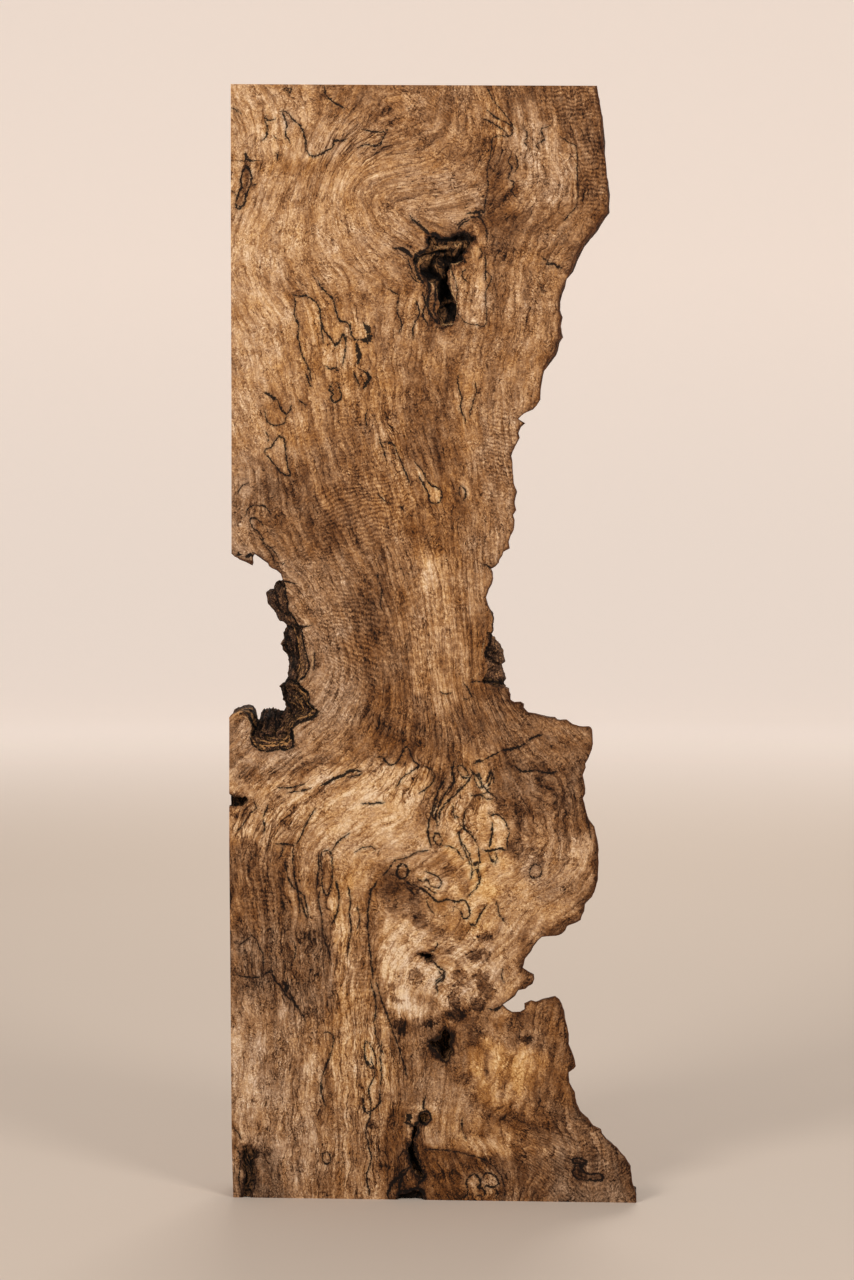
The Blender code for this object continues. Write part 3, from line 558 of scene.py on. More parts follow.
# brush strokes laid over the patches in this order: tone, warmth, half width, strength, then the points
brushStrokes = [
    (0.5, 0.5, 5, 0.7, 22, 697, 45, 694, 62, 700), (0.2, 0.1, 6, 0.7, 26, 716, 33, 710, 40, 718),
    (0.3, 0, 4, 0.7, 60, 720, 74, 722, 84, 716), (0.62, 0.2, 3, 0.7, 66, 738, 80, 730, 97, 728),
    (0.66, 0.1, 3, 0.6, 80, 716, 100, 727, 112, 735), (0.32, 0, 4, 0.7, 88, 713, 95, 714, 101, 717),
    (0.58, 0.1, 3, 0.6, 80, 705, 100, 706, 122, 707, 142, 708), (0.4, 0.4, 5, 0.6, 108, 742, 122, 741),
    (0.62, 0.2, 4, 0.6, 130, 744, 150, 742, 160, 738), (0.34, 0.5, 4, 0.7, 177, 733, 182, 722, 174, 717),
    (0.72, 0.1, 4, 0.7, 186, 742, 206, 735, 222, 730, 232, 738),
    (0.46, 0, 5, 0.6, 196, 733, 210, 731, 218, 722), (0.72, 0, 5, 0.7, 224, 732, 228, 716, 238, 720),
    (0.42, 0.2, 3, 0.7, 219, 716, 226, 709, 230, 690, 230, 675, 222, 660),
    (0.7, 0.1, 3, 0.7, 245, 712, 249, 690, 251, 668, 241, 654),
    (0.74, 0.1, 4, 0.8, 181, 706, 178, 694, 178, 682),
    (0.7, 0, 6, 0.7, 180, 672, 184, 660, 184, 646, 178, 636),
    (0.46, 0.1, 3, 0.6, 192, 668, 205, 660, 216, 650, 222, 640),
    (0.44, 0.2, 3, 0.6, 196, 650, 203, 642, 212, 640), (0.38, 0.2, 4, 0.7, 164, 656, 168, 645, 168, 630),
    (0.62, 0.2, 3, 0.6, 155, 626, 160, 634, 164, 642), (0.3, 0.1, 5, 0.6, 60, 672, 78, 688, 98, 690),
    (0.48, 0.1, 3, 0.6, 92, 706, 104, 700, 114, 692), (0.24, -0.1, 6, 0.6, 14, 648, 22, 634, 30, 628),
    (0.44, 0.1, 5, 0.5, 28, 625, 50, 624, 74, 632), (0.48, 0.2, 4, 0.5, 58, 640, 60, 622, 70, 612),
    (0.22, -0.1, 6, 0.6, 4, 618, 20, 606, 36, 598), (0.22, -0.1, 6, 0.6, 6, 588, 20, 574, 32, 560),
    (0.32, 0.5, 4, 0.6, 48, 600, 52, 585, 50, 570), (0.34, 0.5, 4, 0.6, 66, 590, 72, 584, 62, 568),
    (0.28, 0.3, 3, 0.8, 88, 590, 88, 584), (0.3, 0.2, 4, 0.6, 126, 606, 124, 598, 122, 588),
    (0.32, 0.1, 5, 0.7, 134, 585, 140, 575, 137, 566), (0.6, 0.2, 3, 0.6, 148, 588, 147, 575, 150, 562),
    (0.62, 0.1, 4, 0.6, 118, 560, 120, 550, 124, 538), (0.28, 0.2, 5, 0.6, 158, 556, 156, 545, 158, 532),
    (0.52, 0.5, 7, 0.8, 28, 534, 32, 528), (0.36, 0.4, 4, 0.6, 46, 500, 58, 486, 66, 472),
    (0.4, 0.3, 3, 0.6, 70, 522, 74, 510), (0.68, 0, 6, 0.6, 18, 494, 32, 482, 46, 468, 58, 450),
    (0.75, 0.1, 4, 0.6, 46, 492, 56, 474, 70, 456), (0.42, 0.3, 5, 0.6, 92, 506, 98, 488, 102, 474),
    (0.36, 0.4, 3, 0.6, 126, 497, 133, 484, 138, 476), (0.76, 0.1, 5, 0.7, 130, 530, 134, 512, 140, 500),
    (0.7, 0.1, 4, 0.6, 118, 518, 124, 506, 128, 498), (0.2, 0, 3, 0.9, 153, 482, 155, 476),
    (0.62, 0.2, 4, 0.5, 146, 560, 147, 530, 150, 500, 152, 460),
    (0.4, 0, 3, 0.6, 132, 436, 130, 422, 134, 410, 134, 392),
    (0.28, -0.1, 5, 0.8, 131, 434, 131, 422, 131, 414), (0.5, 0, 3, 0.6, 52, 436, 66, 428, 84, 418),
    (0.36, -0.3, 4, 0.6, 50, 418, 46, 404, 52, 392),
    (0.72, 0.1, 5, 0.7, 98, 432, 100, 414, 98, 396, 96, 378),
    (0.66, 0.1, 4, 0.6, 120, 382, 116, 366, 120, 348, 126, 336),
    (0.3, 0.1, 4, 0.7, 134, 372, 136, 352, 136, 330, 139, 318),
    (0.34, 0.2, 3, 0.6, 146, 372, 150, 350, 158, 338), (0.72, 0.1, 4, 0.7, 126, 340, 130, 322, 140, 312),
    (0.74, 0.1, 6, 0.7, 92, 330, 108, 318, 120, 312), (0.7, 0.1, 4, 0.7, 148, 330, 152, 318, 150, 308),
    (0.5, 0.5, 2.5, 0.6, 140, 308, 152, 306, 168, 312, 178, 318),
    (0.5, 0.1, 4, 0.6, 60, 304, 74, 308, 88, 312), (0.66, 0.1, 3, 0.6, 0, 292, 18, 290, 40, 291, 58, 296),
    (0.32, 0.4, 3, 0.7, 0, 283, 18, 281, 36, 282, 52, 287, 66, 294, 84, 298),
    (0.34, 0, 3, 0.6, 2, 300, 20, 299, 38, 300, 54, 305), (0.3, 0.1, 4, 0.7, 2, 330, 8, 332, 14, 330),
    (0.46, 0.1, 3, 0.7, 92, 304, 102, 300, 112, 303),
    (0.3, 0.3, 4, 0.7, 76, 290, 100, 295, 118, 292, 130, 284),
    (0.62, 0.2, 3, 0.6, 120, 312, 128, 300, 136, 292, 140, 282, 134, 270, 133, 258),
    (0.3, 0.3, 3, 0.6, 127, 296, 132, 288, 126, 280, 118, 272),
    (0.5, 0.2, 2.5, 0.6, 24, 240, 30, 254, 44, 266, 60, 277, 78, 284),
    (0.5, 0.2, 2.5, 0.6, 38, 242, 44, 254, 56, 268, 72, 277),
    (0.17, 0.1, 9, 0.6, 60, 256, 80, 266, 102, 272, 118, 264),
    (0.2, 0.1, 6, 0.5, 64, 246, 90, 254, 112, 250), (0.38, 0, 3, 0.5, 60, 240, 84, 244, 108, 240, 128, 243),
    (0.58, 0.3, 3, 0.6, 146, 302, 142, 288, 146, 276, 142, 262),
    (0.26, 0.4, 6, 0.7, 158, 284, 166, 272, 170, 262, 162, 250, 158, 240),
    (0.25, 0.2, 5, 0.8, 180, 260, 181, 250, 183, 241),
    (0.74, 0.1, 4, 0.7, 181, 300, 180, 284, 186, 270, 192, 256, 196, 244),
    (0.76, 0, 4, 0.7, 188, 296, 204, 292, 220, 294), (0.56, 0.2, 3, 0.6, 196, 262, 210, 250, 214, 240),
    (0.76, 0, 3, 0.6, 206, 284, 224, 276, 230, 262),
    (0.74, 0.1, 4, 0.7, 236, 284, 236, 268, 243, 252, 245, 236, 246, 222, 240, 206),
    (0.4, -0.4, 5, 0.6, 200, 232, 210, 224, 222, 226, 234, 234),
    (0.62, 0.1, 3, 0.6, 176, 206, 186, 222, 196, 234, 206, 240),
    (0.3, 1, 5, 0.8, 150, 232, 160, 240, 170, 232, 172, 220, 180, 212),
    (0.34, 0.9, 4, 0.7, 186, 236, 178, 224, 170, 210), (0.26, 0.1, 4, 0.8, 126, 222, 134, 217, 140, 212),
    (0.28, 0.1, 4, 0.8, 113, 225, 117, 222), (0.52, 0.2, 3, 0.6, 110, 236, 124, 234, 138, 228, 146, 218),
    (0.76, 0, 6, 0.75, 106, 214, 114, 208, 122, 201), (0.28, -0.2, 4, 0.7, 106, 196, 110, 186, 112, 176),
    (0.3, 0.2, 5, 0.6, 186, 204, 200, 206, 214, 198, 226, 196),
    (0.74, 0.1, 4, 0.8, 240, 206, 235, 195, 224, 188, 212, 184),
    (0.36, 0.3, 2.5, 0.6, 2, 236, 4, 210, 3, 190), (0.5, 0.3, 2, 0.6, 14, 240, 13, 215, 15, 190),
    (0.7, 0.1, 4, 0.6, 22, 222, 24, 204, 30, 186), (0.42, 0.3, 2, 0.6, 33, 236, 35, 216, 40, 200),
    (0.36, 0.2, 3, 0.6, 46, 236, 50, 214, 54, 196), (0.62, 0.1, 3, 0.6, 63, 226, 62, 212, 64, 196),
    (0.3, 0.7, 4, 0.8, 76, 214, 76, 198, 76, 182), (0.3, 0.2, 4, 0.5, 82, 232, 86, 216, 84, 200),
    (0.6, 0.3, 2.5, 0.7, 93, 214, 91, 196, 92, 176, 94, 156),
    (0.34, 0.4, 2.5, 0.6, 98, 204, 99, 180, 102, 160, 104, 142),
    (0.7, 0, 3, 0.6, 4, 184, 16, 182, 22, 172, 22, 158), (0.52, -0.6, 4, 0.8, 8, 174, 14, 172, 14, 164),
    (0.38, 0, 2.5, 0.6, 42, 180, 44, 168, 43, 156), (0.4, -0.2, 3, 0.5, 36, 158, 36, 150),
    (0.68, 0.1, 3, 0.6, 48, 186, 50, 168, 56, 150, 62, 132),
    (0.34, 0.5, 3, 0.7, 70, 178, 72, 160, 76, 140, 74, 124),
    (0.66, 0.1, 2.5, 0.6, 82, 190, 84, 170, 84, 150), (0.38, 0.2, 2, 0.6, 88, 176, 90, 158, 94, 140),
    (0.66, 0.2, 2.5, 0.7, 97, 154, 100, 138, 106, 124, 112, 108, 118, 88),
    (0.2, -0.5, 4, 0.7, 108, 160, 112, 146, 114, 134, 124, 132),
    (0.22, -0.5, 4, 0.7, 134, 160, 134, 150, 132, 142), (0.24, -0.4, 3, 0.6, 146, 162, 160, 160, 176, 160),
    (0.26, -0.1, 4, 0.6, 182, 152, 190, 158, 194, 164),
    (0.46, 0.2, 2, 0.6, 120, 184, 140, 178, 170, 181, 190, 180), (0.6, 0.1, 4, 0.6, 196, 152, 202, 152),
    (0.22, -0.4, 5, 0.7, 4, 118, 6, 98, 8, 80, 14, 66), (0.36, -0.2, 3, 0.6, 10, 100, 12, 88),
    (0.54, 0.1, 2.5, 0.6, 36, 122, 38, 106, 36, 96), (0.3, 0.1, 3, 0.6, 48, 122, 52, 104, 50, 84, 46, 64),
    (0.62, 0.2, 2.5, 0.7, 66, 112, 63, 94, 62, 76, 66, 58, 66, 40),
    (0.3, 0.4, 3, 0.6, 74, 116, 74, 96, 76, 78), (0.28, 0.4, 4, 0.8, 92, 106, 94, 96),
    (0.5, 0.3, 2, 0.6, 84, 92, 86, 70, 84, 48), (0.3, 0.2, 2.5, 0.6, 96, 82, 96, 66, 102, 58),
    (0.62, 0.1, 3, 0.7, 108, 126, 114, 118, 116, 106), (0.66, 0.1, 4, 0.7, 104, 72, 114, 70, 124, 72),
    (0.36, 0, 3, 0.7, 122, 64, 126, 60, 120, 54), (0.64, 0, 5, 0.6, 142, 92, 146, 84, 150, 96),
    (0.4, -0.3, 5, 0.6, 138, 74, 150, 70, 160, 66), (0.26, 1, 6, 0.8, 178, 98, 188, 90, 194, 78),
    (0.32, 0.8, 4, 0.7, 164, 100, 166, 88, 172, 78), (0.34, 0.6, 4, 0.6, 196, 104, 206, 100, 208, 88),
    (0.64, -0.1, 5, 0.7, 192, 110, 200, 112, 206, 108), (0.7, 0.1, 4, 0.7, 188, 126, 204, 132, 218, 134),
    (0.66, 0.2, 3, 0.6, 222, 128, 226, 112, 229, 98, 228, 84),
    (0.32, 0.4, 4, 0.7, 156, 42, 168, 38, 180, 38, 188, 42), (0.34, 0.3, 4, 0.6, 134, 58, 142, 54, 150, 60),
    (0.68, 0.1, 5, 0.6, 176, 54, 190, 54, 204, 56), (0.5, -0.3, 4, 0.6, 212, 66, 224, 60, 236, 50, 248, 42),
    (0.46, -0.2, 4, 0.6, 208, 34, 222, 36, 236, 40), (0.7, 0, 4, 0.6, 256, 34, 264, 22, 268, 6),
    (0.74, -0.1, 4, 0.6, 254, 14, 262, 12), (0.7, 0.1, 4, 0.6, 132, 30, 144, 26, 160, 24, 170, 16),
    (0.82, 0.1, 3, 0.8, 104, 2, 109, 14, 116, 24, 119, 36, 122, 46),
    (0.62, 0.1, 3, 0.8, 116, 16, 124, 14, 128, 8), (0.46, -0.4, 5, 0.8, 159, 5, 162, 14, 170, 11, 177, 14),
    (0.28, 0, 3, 0.7, 2, 50, 8, 44, 18, 42), (0.62, 0.1, 2.5, 0.6, 20, 20, 22, 8),
    (0.3, 0.1, 3, 0.6, 36, 26, 36, 8), (0.32, -0.2, 3, 0.6, 50, 30, 52, 10),
    (0.62, 0.1, 2, 0.6, 57, 40, 60, 20, 58, 4), (0.34, -0.2, 3, 0.6, 64, 40, 66, 28, 64, 22),
    (0.52, 0.2, 3, 0.6, 72, 20, 74, 4), (0.64, 0.2, 2.5, 0.7, 93, 54, 93, 48),
    (0.3, 0, 2, 0.5, 84, 32, 86, 16), (0.33, 0.35, 7, 0.75, 146, 266, 149, 254, 156, 243, 163, 234),
    (0.32, 0.35, 8, 0.75, 166, 278, 165, 266, 168, 252, 170, 243),
    (0.3, 0.3, 3, 0.8, 174, 290, 174, 280, 172, 272), (0.3, 0.2, 5, 0.8, 180, 260, 180, 250, 180, 242),
    (0.66, 0.3, 5, 0.75, 144, 308, 147, 296, 143, 285, 136, 274),
    (0.6, 0.4, 3, 0.7, 160, 300, 160, 290, 164, 296),
    (0.66, 0.4, 3, 0.75, 178, 303, 180, 288, 183, 270, 189, 256),
    (0.66, 0.1, 3, 0.7, 40, 289, 58, 293, 74, 298, 92, 301), (0.42, 0, 6, 0.7, 54, 312, 70, 318, 84, 326),
    (0.66, 0.1, 5, 0.7, 132, 322, 142, 314, 150, 304), (0.38, 0.2, 5, 0.6, 30, 268, 38, 258, 44, 250),
    (0.34, 0.1, 4, 0.6, 0, 282, 8, 279, 16, 278), (0.54, 0.1, 8, 0.5, 16, 470, 34, 458, 44, 444),
    (0.45, -0.1, 5, 0.6, 6, 452, 14, 444, 22, 440), (0.42, 0.1, 6, 0.6, 60, 741, 72, 741, 84, 742),
    (0.52, 0.1, 5, 0.6, 164, 743, 176, 742), (0.6, 0.1, 5, 0.6, 214, 743, 228, 736, 238, 743),
    (0.36, 0, 7, 0.6, 4, 640, 8, 600, 6, 560), (0.4, 0.1, 6, 0.6, 38, 640, 44, 620, 42, 600),
    (0.78, 0.1, 4, 0.85, 131, 621, 132, 610, 134, 600, 140, 592),
    (0.46, 0.1, 5, 0.7, 154, 636, 158, 622, 154, 608), (0.3, -0.2, 6, 0.7, 163, 618, 163, 606, 160, 596),
    (0.6, 0.2, 3, 0.7, 150, 628, 158, 634, 166, 640, 172, 634),
    (0.3, 0.1, 3, 0.7, 122, 608, 121, 598, 121, 590), (0.66, 0.2, 4, 0.7, 126, 590, 132, 584, 128, 576),
    (0.34, -0.2, 6, 0.7, 140, 584, 146, 580, 142, 574), (0.52, 0, 5, 0.6, 4, 530, 5, 515, 4, 500),
    (0.5, 0.1, 4, 0.6, 160, 500, 164, 470, 158, 450), (0.36, 0.1, 4, 0.6, 172, 226, 182, 214, 176, 202),
    (0.46, 0.1, 5, 0.6, 204, 252, 214, 246, 220, 238), (0.48, 0.1, 4, 0.6, 226, 210, 230, 204, 224, 198),
    (0.2, -0.4, 6, 0.8, 112, 168, 113, 152, 114, 140), (0.26, -0.35, 6, 0.7, 128, 140, 140, 146, 152, 160),
    (0.26, 0.1, 6, 0.7, 112, 182, 118, 176, 150, 176), (0.6, 0.2, 3, 0.8, 134, 187, 146, 183, 156, 185),
    (0.58, 0.3, 3, 0.7, 134, 176, 140, 164, 142, 152, 138, 142),
    (0.68, 0.1, 4, 0.85, 190, 138, 198, 154, 198, 174), (0.66, 0, 5, 0.7, 110, 118, 122, 116, 134, 118),
    (0.6, 0, 5, 0.7, 150, 124, 164, 126, 174, 132), (0.5, 0.1, 5, 0.6, 156, 96, 160, 84, 158, 74),
    (0.42, 0.1, 4, 0.6, 10, 132, 16, 120, 24, 110), (0.66, 0.1, 4, 0.6, 44, 190, 46, 172, 46, 152),
    (0.36, 0.1, 4, 0.6, 152, 58, 162, 54, 168, 60), (0.34, 0.2, 3, 0.6, 80, 98, 81, 84, 79, 72),
    (0.74, -0.3, 2.6, 0.9, 4, 433.6, 9, 432, 14.4, 431), (0.68, 0.2, 5, 0.6, 10, 236, 12, 210, 10, 190),
    (0.54, 0.1, 4, 0.6, 56, 228, 57, 212, 56, 196), (0.66, 0.1, 5, 0.6, 34, 180, 32, 160, 30, 140),
    (0.66, 0.1, 4, 0.6, 58, 150, 66, 130, 68, 112), (0.6, 0, 4, 0.55, 26, 132, 24, 108, 26, 84),
    (0.58, 0, 3, 0.55, 42, 112, 44, 88, 42, 64), (0.6, 0.5, 6, 0.75, 164, 392, 164, 374, 164, 356),
    (0.7, 0.5, 5, 0.7, 124, 30, 138, 29, 150, 28, 160, 26), (0.68, 0.5, 6, 0.7, 134, 8, 144, 10, 156, 6),
    (0.64, 0.4, 5, 0.7, 113, 48, 112, 40, 115, 30), (0.76, 0.4, 4, 0.8, 120, 18, 121, 12, 123, 10),
    (0.3, 0.1, 3, 0.8, 121, 48, 120.6, 43), (0.34, 0.5, 4, 0.7, 148, 46, 156, 42, 164, 42),
    (0.4, -0.1, 4, 0.6, 134, 50, 140, 44), (0.62, 0.2, 5, 0.85, 138, 587, 148, 588, 157, 586),
    (0.75, 0.1, 3, 0.8, 0, 51, 1, 44, 2, 36), (0.64, 0.2, 3, 0.85, 189, 262, 190, 253, 188, 244),
    (0.58, 0.4, 3.5, 0.85, 174, 99, 173.6, 92, 175, 85), (0.68, 0.1, 3, 0.85, 65, 90, 64.6, 79, 66, 69),
    (0.52, 0.2, 3, 0.85, 43, 611, 45.4, 602, 47, 592), (0.68, 0.1, 4, 0.8, 133, 316, 137, 309, 142, 302),
    (0.62, 0.4, 4, 0.8, 189, 698, 192, 689, 191, 681), (0.64, 0, 3, 0.7, 38, 170, 39, 161, 38, 153),
    (0.62, 0, 3, 0.75, 0, 180, 1.6, 150, 0, 118), (0.46, 0, 4, 0.8, 11, 583, 15, 577, 20, 571),
    (0.6, 0.2, 3, 0.8, 31, 239, 36, 247, 42, 256), (0.62, 0.4, 3, 0.75, 129, 48, 129, 38),
    (0.56, -0.1, 5, 0.75, 63, 418, 67, 409, 70, 399), (0.46, 0.1, 4, 0.75, 51, 661, 55, 653, 58, 645),
    (0.5, 0.1, 4, 0.75, 104, 671, 110, 666, 115, 662), (0.56, 0.1, 3, 0.75, 42, 197, 43, 188, 44, 180),
    (0.62, 0.3, 3, 0.75, 147, 327, 149, 320, 151, 312), (0.4, 0, 6, 0.75, 56, 303, 68, 307, 82, 312),
    (0.24, 0.35, 6, 0.85, 163, 203, 164, 194, 171, 186), (0.34, 0, 4, 0.75, 112, 186, 118, 190, 123, 184),
    (0.5, 0.1, 5, 0.75, 80, 439, 88, 433, 97, 427), (0.4, 0, 5, 0.75, 0, 503, 6, 494),
    (0.46, 0.1, 5, 0.75, 26, 504, 34, 500, 42, 494), (0.5, 0.4, 5, 0.75, 187, 70, 194, 66, 200, 62),
    (0.44, 0.4, 5, 0.75, 160, 50, 168, 50, 177, 49), (0.28, 0.3, 5, 0.85, 182, 221, 189, 216, 200, 211),
    (0.14, 0.9, 5, 0.8, 165, 228, 170, 221, 174, 214), (0.34, 0.1, 3.5, 0.8, 48, 243, 50, 236, 52, 228),
    (0.28, 0.1, 4, 0.8, 23, 257, 30, 262, 37, 269), (0.32, 0.4, 3.5, 0.85, 77, 184, 77, 174, 77, 164),
    (0.46, 0, 4, 0.8, 80, 381, 81, 370, 82, 359), (0.5, 0.2, 4, 0.8, 168, 739, 171, 733, 174, 726),
    (0.42, 0.1, 4, 0.75, 69, 733, 76, 731, 84, 729), (0.36, 0.3, 4, 0.75, 76, 561, 77, 553, 79, 545),
    (0.32, 0.4, 3, 0.75, 152, 255, 154, 248, 154, 241), (0.3, 0.2, 3, 0.8, 164, 657, 165, 650, 166, 643),
    (0.46, 0.1, 4, 0.7, 210, 645, 221, 640), (0.3, 0.1, 5, 0.75, 184, 160, 184, 152, 182, 142),
    (0.24, -0.2, 5, 0.75, 107, 180, 107, 164, 108, 146),
    (0.74, 0.2, 4, 0.9, 244, 258, 247, 246, 248, 230, 247, 216),
    (0.74, 0.2, 5, 0.9, 191, 266, 192, 253, 190, 240), (0.6, 0, 4, 0.75, 0, 184, 1, 172, 0, 160),
    (0.5, 0, 4, 0.7, 0, 664, 1, 656, 0, 646), (0.64, 0, 5, 0.75, 252, 60, 255, 54, 260, 46),
    (0.5, 0, 4, 0.75, 16, 128, 19, 122, 22, 114), (0.56, 0.2, 3, 0.8, 13, 262, 15, 255, 14, 248),
    (0.36, -0.2, 3.5, 0.8, 3, 32, 3, 24, 3, 14), (0.46, 0.4, 5, 0.8, 184, 73, 191, 69, 200, 67),
    (0.2, 0.4, 5, 0.8, 161, 202, 163, 195, 166, 188), (0.44, 0.2, 4, 0.8, 168, 740, 171, 734, 173, 728),
    (0.24, 0.3, 4, 0.8, 154, 257, 155, 250, 156, 243), (0.24, -0.3, 4, 0.75, 143, 150, 146, 147, 150, 143),
    (0.44, 0.1, 3, 0.8, 62, 226, 62, 219, 62, 210), (0.4, 0.1, 5, 0.75, 166, 122, 171, 118, 176, 113),
    (0.4, 0.1, 4, 0.75, 54, 744, 60, 744, 68, 744), (0.3, 0.1, 4, 0.8, 47, 246, 48, 239, 49, 230),
    (0.32, 0, 4, 0.75, 84, 720, 90, 717, 98, 716), (0.36, 0.2, 4, 0.75, 89, 566, 90, 559, 91, 551),
    (0.44, 0.2, 3, 0.75, 136, 283, 136, 276, 135, 268), (0.28, -0.1, 3, 0.8, 50, 18, 50, 10, 51, 2),
    (0.44, 0, 4, 0.75, 123, 731, 131, 729), (0.3, -0.1, 3, 0.75, 38, 94, 38, 86, 37, 78),
    (0.46, 0, 4, 0.75, 78, 318, 83, 315, 90, 314), (0.34, -0.3, 5, 0.75, 0, 504, 4, 496, 10, 490),
    (0.74, 0.4, 5, 0.85, 145, 115, 140, 106, 139, 99), (0.6, 0.1, 5, 0.8, 142, 172, 147, 166, 150, 160),
    (0.6, 0.1, 4, 0.8, 127, 139, 131, 135, 136, 131), (0.5, 0.1, 4, 0.75, 117, 176, 120, 171, 123, 166),
    (0.64, 0.2, 4, 0.85, 196, 178, 197, 170, 198, 160), (0.64, 0.1, 3, 0.8, 43, 196, 43.4, 186, 44, 176),
    (0.52, 0.2, 4, 0.8, 42, 610, 44, 600, 46, 590), (0.52, 0.2, 3, 0.75, 158, 640, 159, 631, 160, 622),
    (0.62, 0.1, 4, 0.8, 198, 140, 202, 134, 206, 129), (0.5, 0.1, 4, 0.75, 158, 684, 163, 682, 170, 678),
    (0.62, 0.1, 3, 0.75, 38, 170, 38, 161, 39, 152), (0.4, 0.1, 3, 0.75, 82, 296, 88, 297, 94, 297),
    (0.6, 0.2, 3, 0.75, 81, 28, 81, 18, 82, 8), (0.5, 0.2, 4, 0.75, 18, 748, 26, 748, 34, 747),
    (0.4, 0.4, 5, 0.8, 186, 74, 192, 70, 200, 68), (0.44, 0, 4, 0.75, 110, 207, 114, 203, 118, 198),
    (0.16, 0.4, 5, 0.8, 161, 202, 164, 195, 167, 188), (0.36, 0, 3, 0.8, 62, 226, 63, 218, 63, 210),
    (0.24, 0.4, 3.5, 0.8, 78, 184, 78, 176, 78, 166), (0.2, 0.3, 3, 0.8, 164, 658, 165, 652, 166, 645),
    (0.3, 0.3, 4, 0.75, 130, 216, 133, 212, 137, 209), (0.18, 0.4, 4, 0.8, 155, 258, 156, 252, 156, 244),
    (0.36, 0.2, 4, 0.8, 168, 738, 171, 732, 173, 726), (0.26, 0.3, 4, 0.75, 77, 561, 78, 553, 79, 545),
    (0.22, 0.1, 4, 0.8, 24, 256, 31, 259, 37, 266), (0.5, 0.2, 4, 0.75, 177, 115, 182, 113, 188, 112),
    (0.3, -0.1, 4, 0.8, 146, 156, 151, 154, 156, 150), (0.36, -0.2, 3.5, 0.85, 3, 32, 3, 25, 4, 16),
    (0.46, 0, 4, 0.8, 146, 122, 150, 117, 156, 114), (0.32, 0.2, 4, 0.75, 159, 175, 163, 172, 168, 169),
    (0.34, 0.1, 4, 0.75, 78, 682, 85, 681, 92, 679), (0.3, 0.2, 3, 0.8, 86, 88, 86, 80, 87, 72),
    (0.46, 0.1, 4, 0.75, 84, 436, 90, 432, 96, 427), (0.4, 0.1, 4, 0.75, 92, 629, 96, 624, 100, 618),
    (0.5, 0.2, 3, 0.8, 104, 594, 105, 588, 106, 581), (0.56, 0.3, 4, 0.8, 154, 224, 156, 218, 158, 212),
    (0.56, 0.2, 3, 0.8, 0, 180, 0, 172, 0, 162), (0.5, 0.1, 4, 0.8, 193, 532, 195, 525, 194, 516),
    (0.66, 0.3, 4, 0.8, 146, 326, 148, 319, 149, 311), (0.46, 0.1, 4, 0.75, 42, 734, 44, 729, 46, 722),
    (0.66, 0.2, 4, 0.8, 133, 312, 136, 307, 140, 301), (0.46, 0, 4, 0.75, 0, 570, 1, 562, 0, 552),
    (0.72, 0.2, 4, 0.85, 237, 206, 235, 198, 228, 191), (0.54, 0.2, 3, 0.8, 87, 164, 87, 156, 88, 148),
    (0.56, 0.3, 4, 0.8, 174, 99, 175, 92, 176, 85), (0.74, 0.3, 4, 0.85, 244, 256, 246, 246, 247, 236),
    (0.68, 0.1, 5, 0.8, 249, 62, 254, 55, 260, 48), (0.85, 0, 4, 0.35, 144, 620, 147, 615, 150, 609),
    (0.9, 0.1, 4, 0.35, 245, 252, 246, 246, 247, 240), (0.9, 0.1, 4, 0.35, 268, 50, 271, 45, 273, 40),
    (0.85, 0.1, 4, 0.35, 184, 257, 188, 254, 192, 251), (0.85, 0.1, 4, 0.35, 173, 98, 174, 93, 175, 88),
    (0.85, 0.1, 4, 0.35, 250, 60, 254, 55, 258, 51), (0.85, 0, 4, 0.3, 42, 194, 43, 187, 44, 180),
    (0.85, 0.1, 4, 0.3, 156, 640, 158, 634, 160, 628), (0.8, 0.1, 4, 0.3, 82, 301, 86, 298, 90, 296),
    (0.8, 0, 4, 0.3, 47, 614, 51, 612, 55, 609), (0.85, 0, 3, 0.3, 0, 178, 0, 172, 0, 165),
    (0.85, 0, 4, 0.3, 35, 170, 36, 163, 37, 156), (0.8, 0.1, 4, 0.3, 109, 541, 111, 535, 112, 529),
    (0.85, 0.1, 4, 0.3, 203, 35, 208, 33, 213, 31), (0.8, 0.1, 4, 0.3, 131, 623, 134, 618, 136, 612),
    (0.85, 0, 4, 0.3, 124, 54, 125, 46, 126, 38), (0.8, 0.1, 4, 0.3, 125, 136, 128, 132, 131, 128),
    (0.8, 0.2, 4, 0.3, 196, 160, 199, 155, 202, 150), (0.8, 0.1, 4, 0.3, 141, 243, 143, 237, 144, 231),
    (0.8, 0.1, 4, 0.3, 125, 401, 126, 395, 127, 389), (0.12, -0.1, 4, 0.4, 147, 155, 151, 153, 155, 151),
    (0.2, 0.1, 5, 0.35, 189, 74, 191, 68, 193, 62), (0.2, 0.1, 4, 0.3, 160, 174, 163, 172, 166, 170),
    (0.2, 0, 4, 0.3, 0, 281, 0, 275, 1, 269), (0.2, 0.1, 4, 0.3, 177, 115, 180, 114, 184, 112),
    (0.2, 0, 4, 0.3, 64, 225, 65, 219, 66, 213), (0.2, -0.1, 4, 0.3, 50, 14, 51, 9, 51, 4),
    (0.2, 0, 4, 0.3, 78, 203, 79, 197, 80, 191), (0.2, -0.1, 4, 0.3, 3, 31, 3, 20, 2, 8),
    (0.2, 0.1, 4, 0.25, 222, 745, 227, 745, 232, 745), (0.2, 0, 4, 0.25, 21, 435, 24, 432, 27, 429),
    (0.2, 0.1, 4, 0.25, 162, 655, 165, 653, 168, 650), (0.2, 0.1, 4, 0.25, 132, 216, 133, 210, 134, 204),
    (0.2, 0.1, 4, 0.25, 154, 347, 155, 341, 156, 335), (0.2, 0, 4, 0.25, 20, 239, 21, 233, 22, 227),
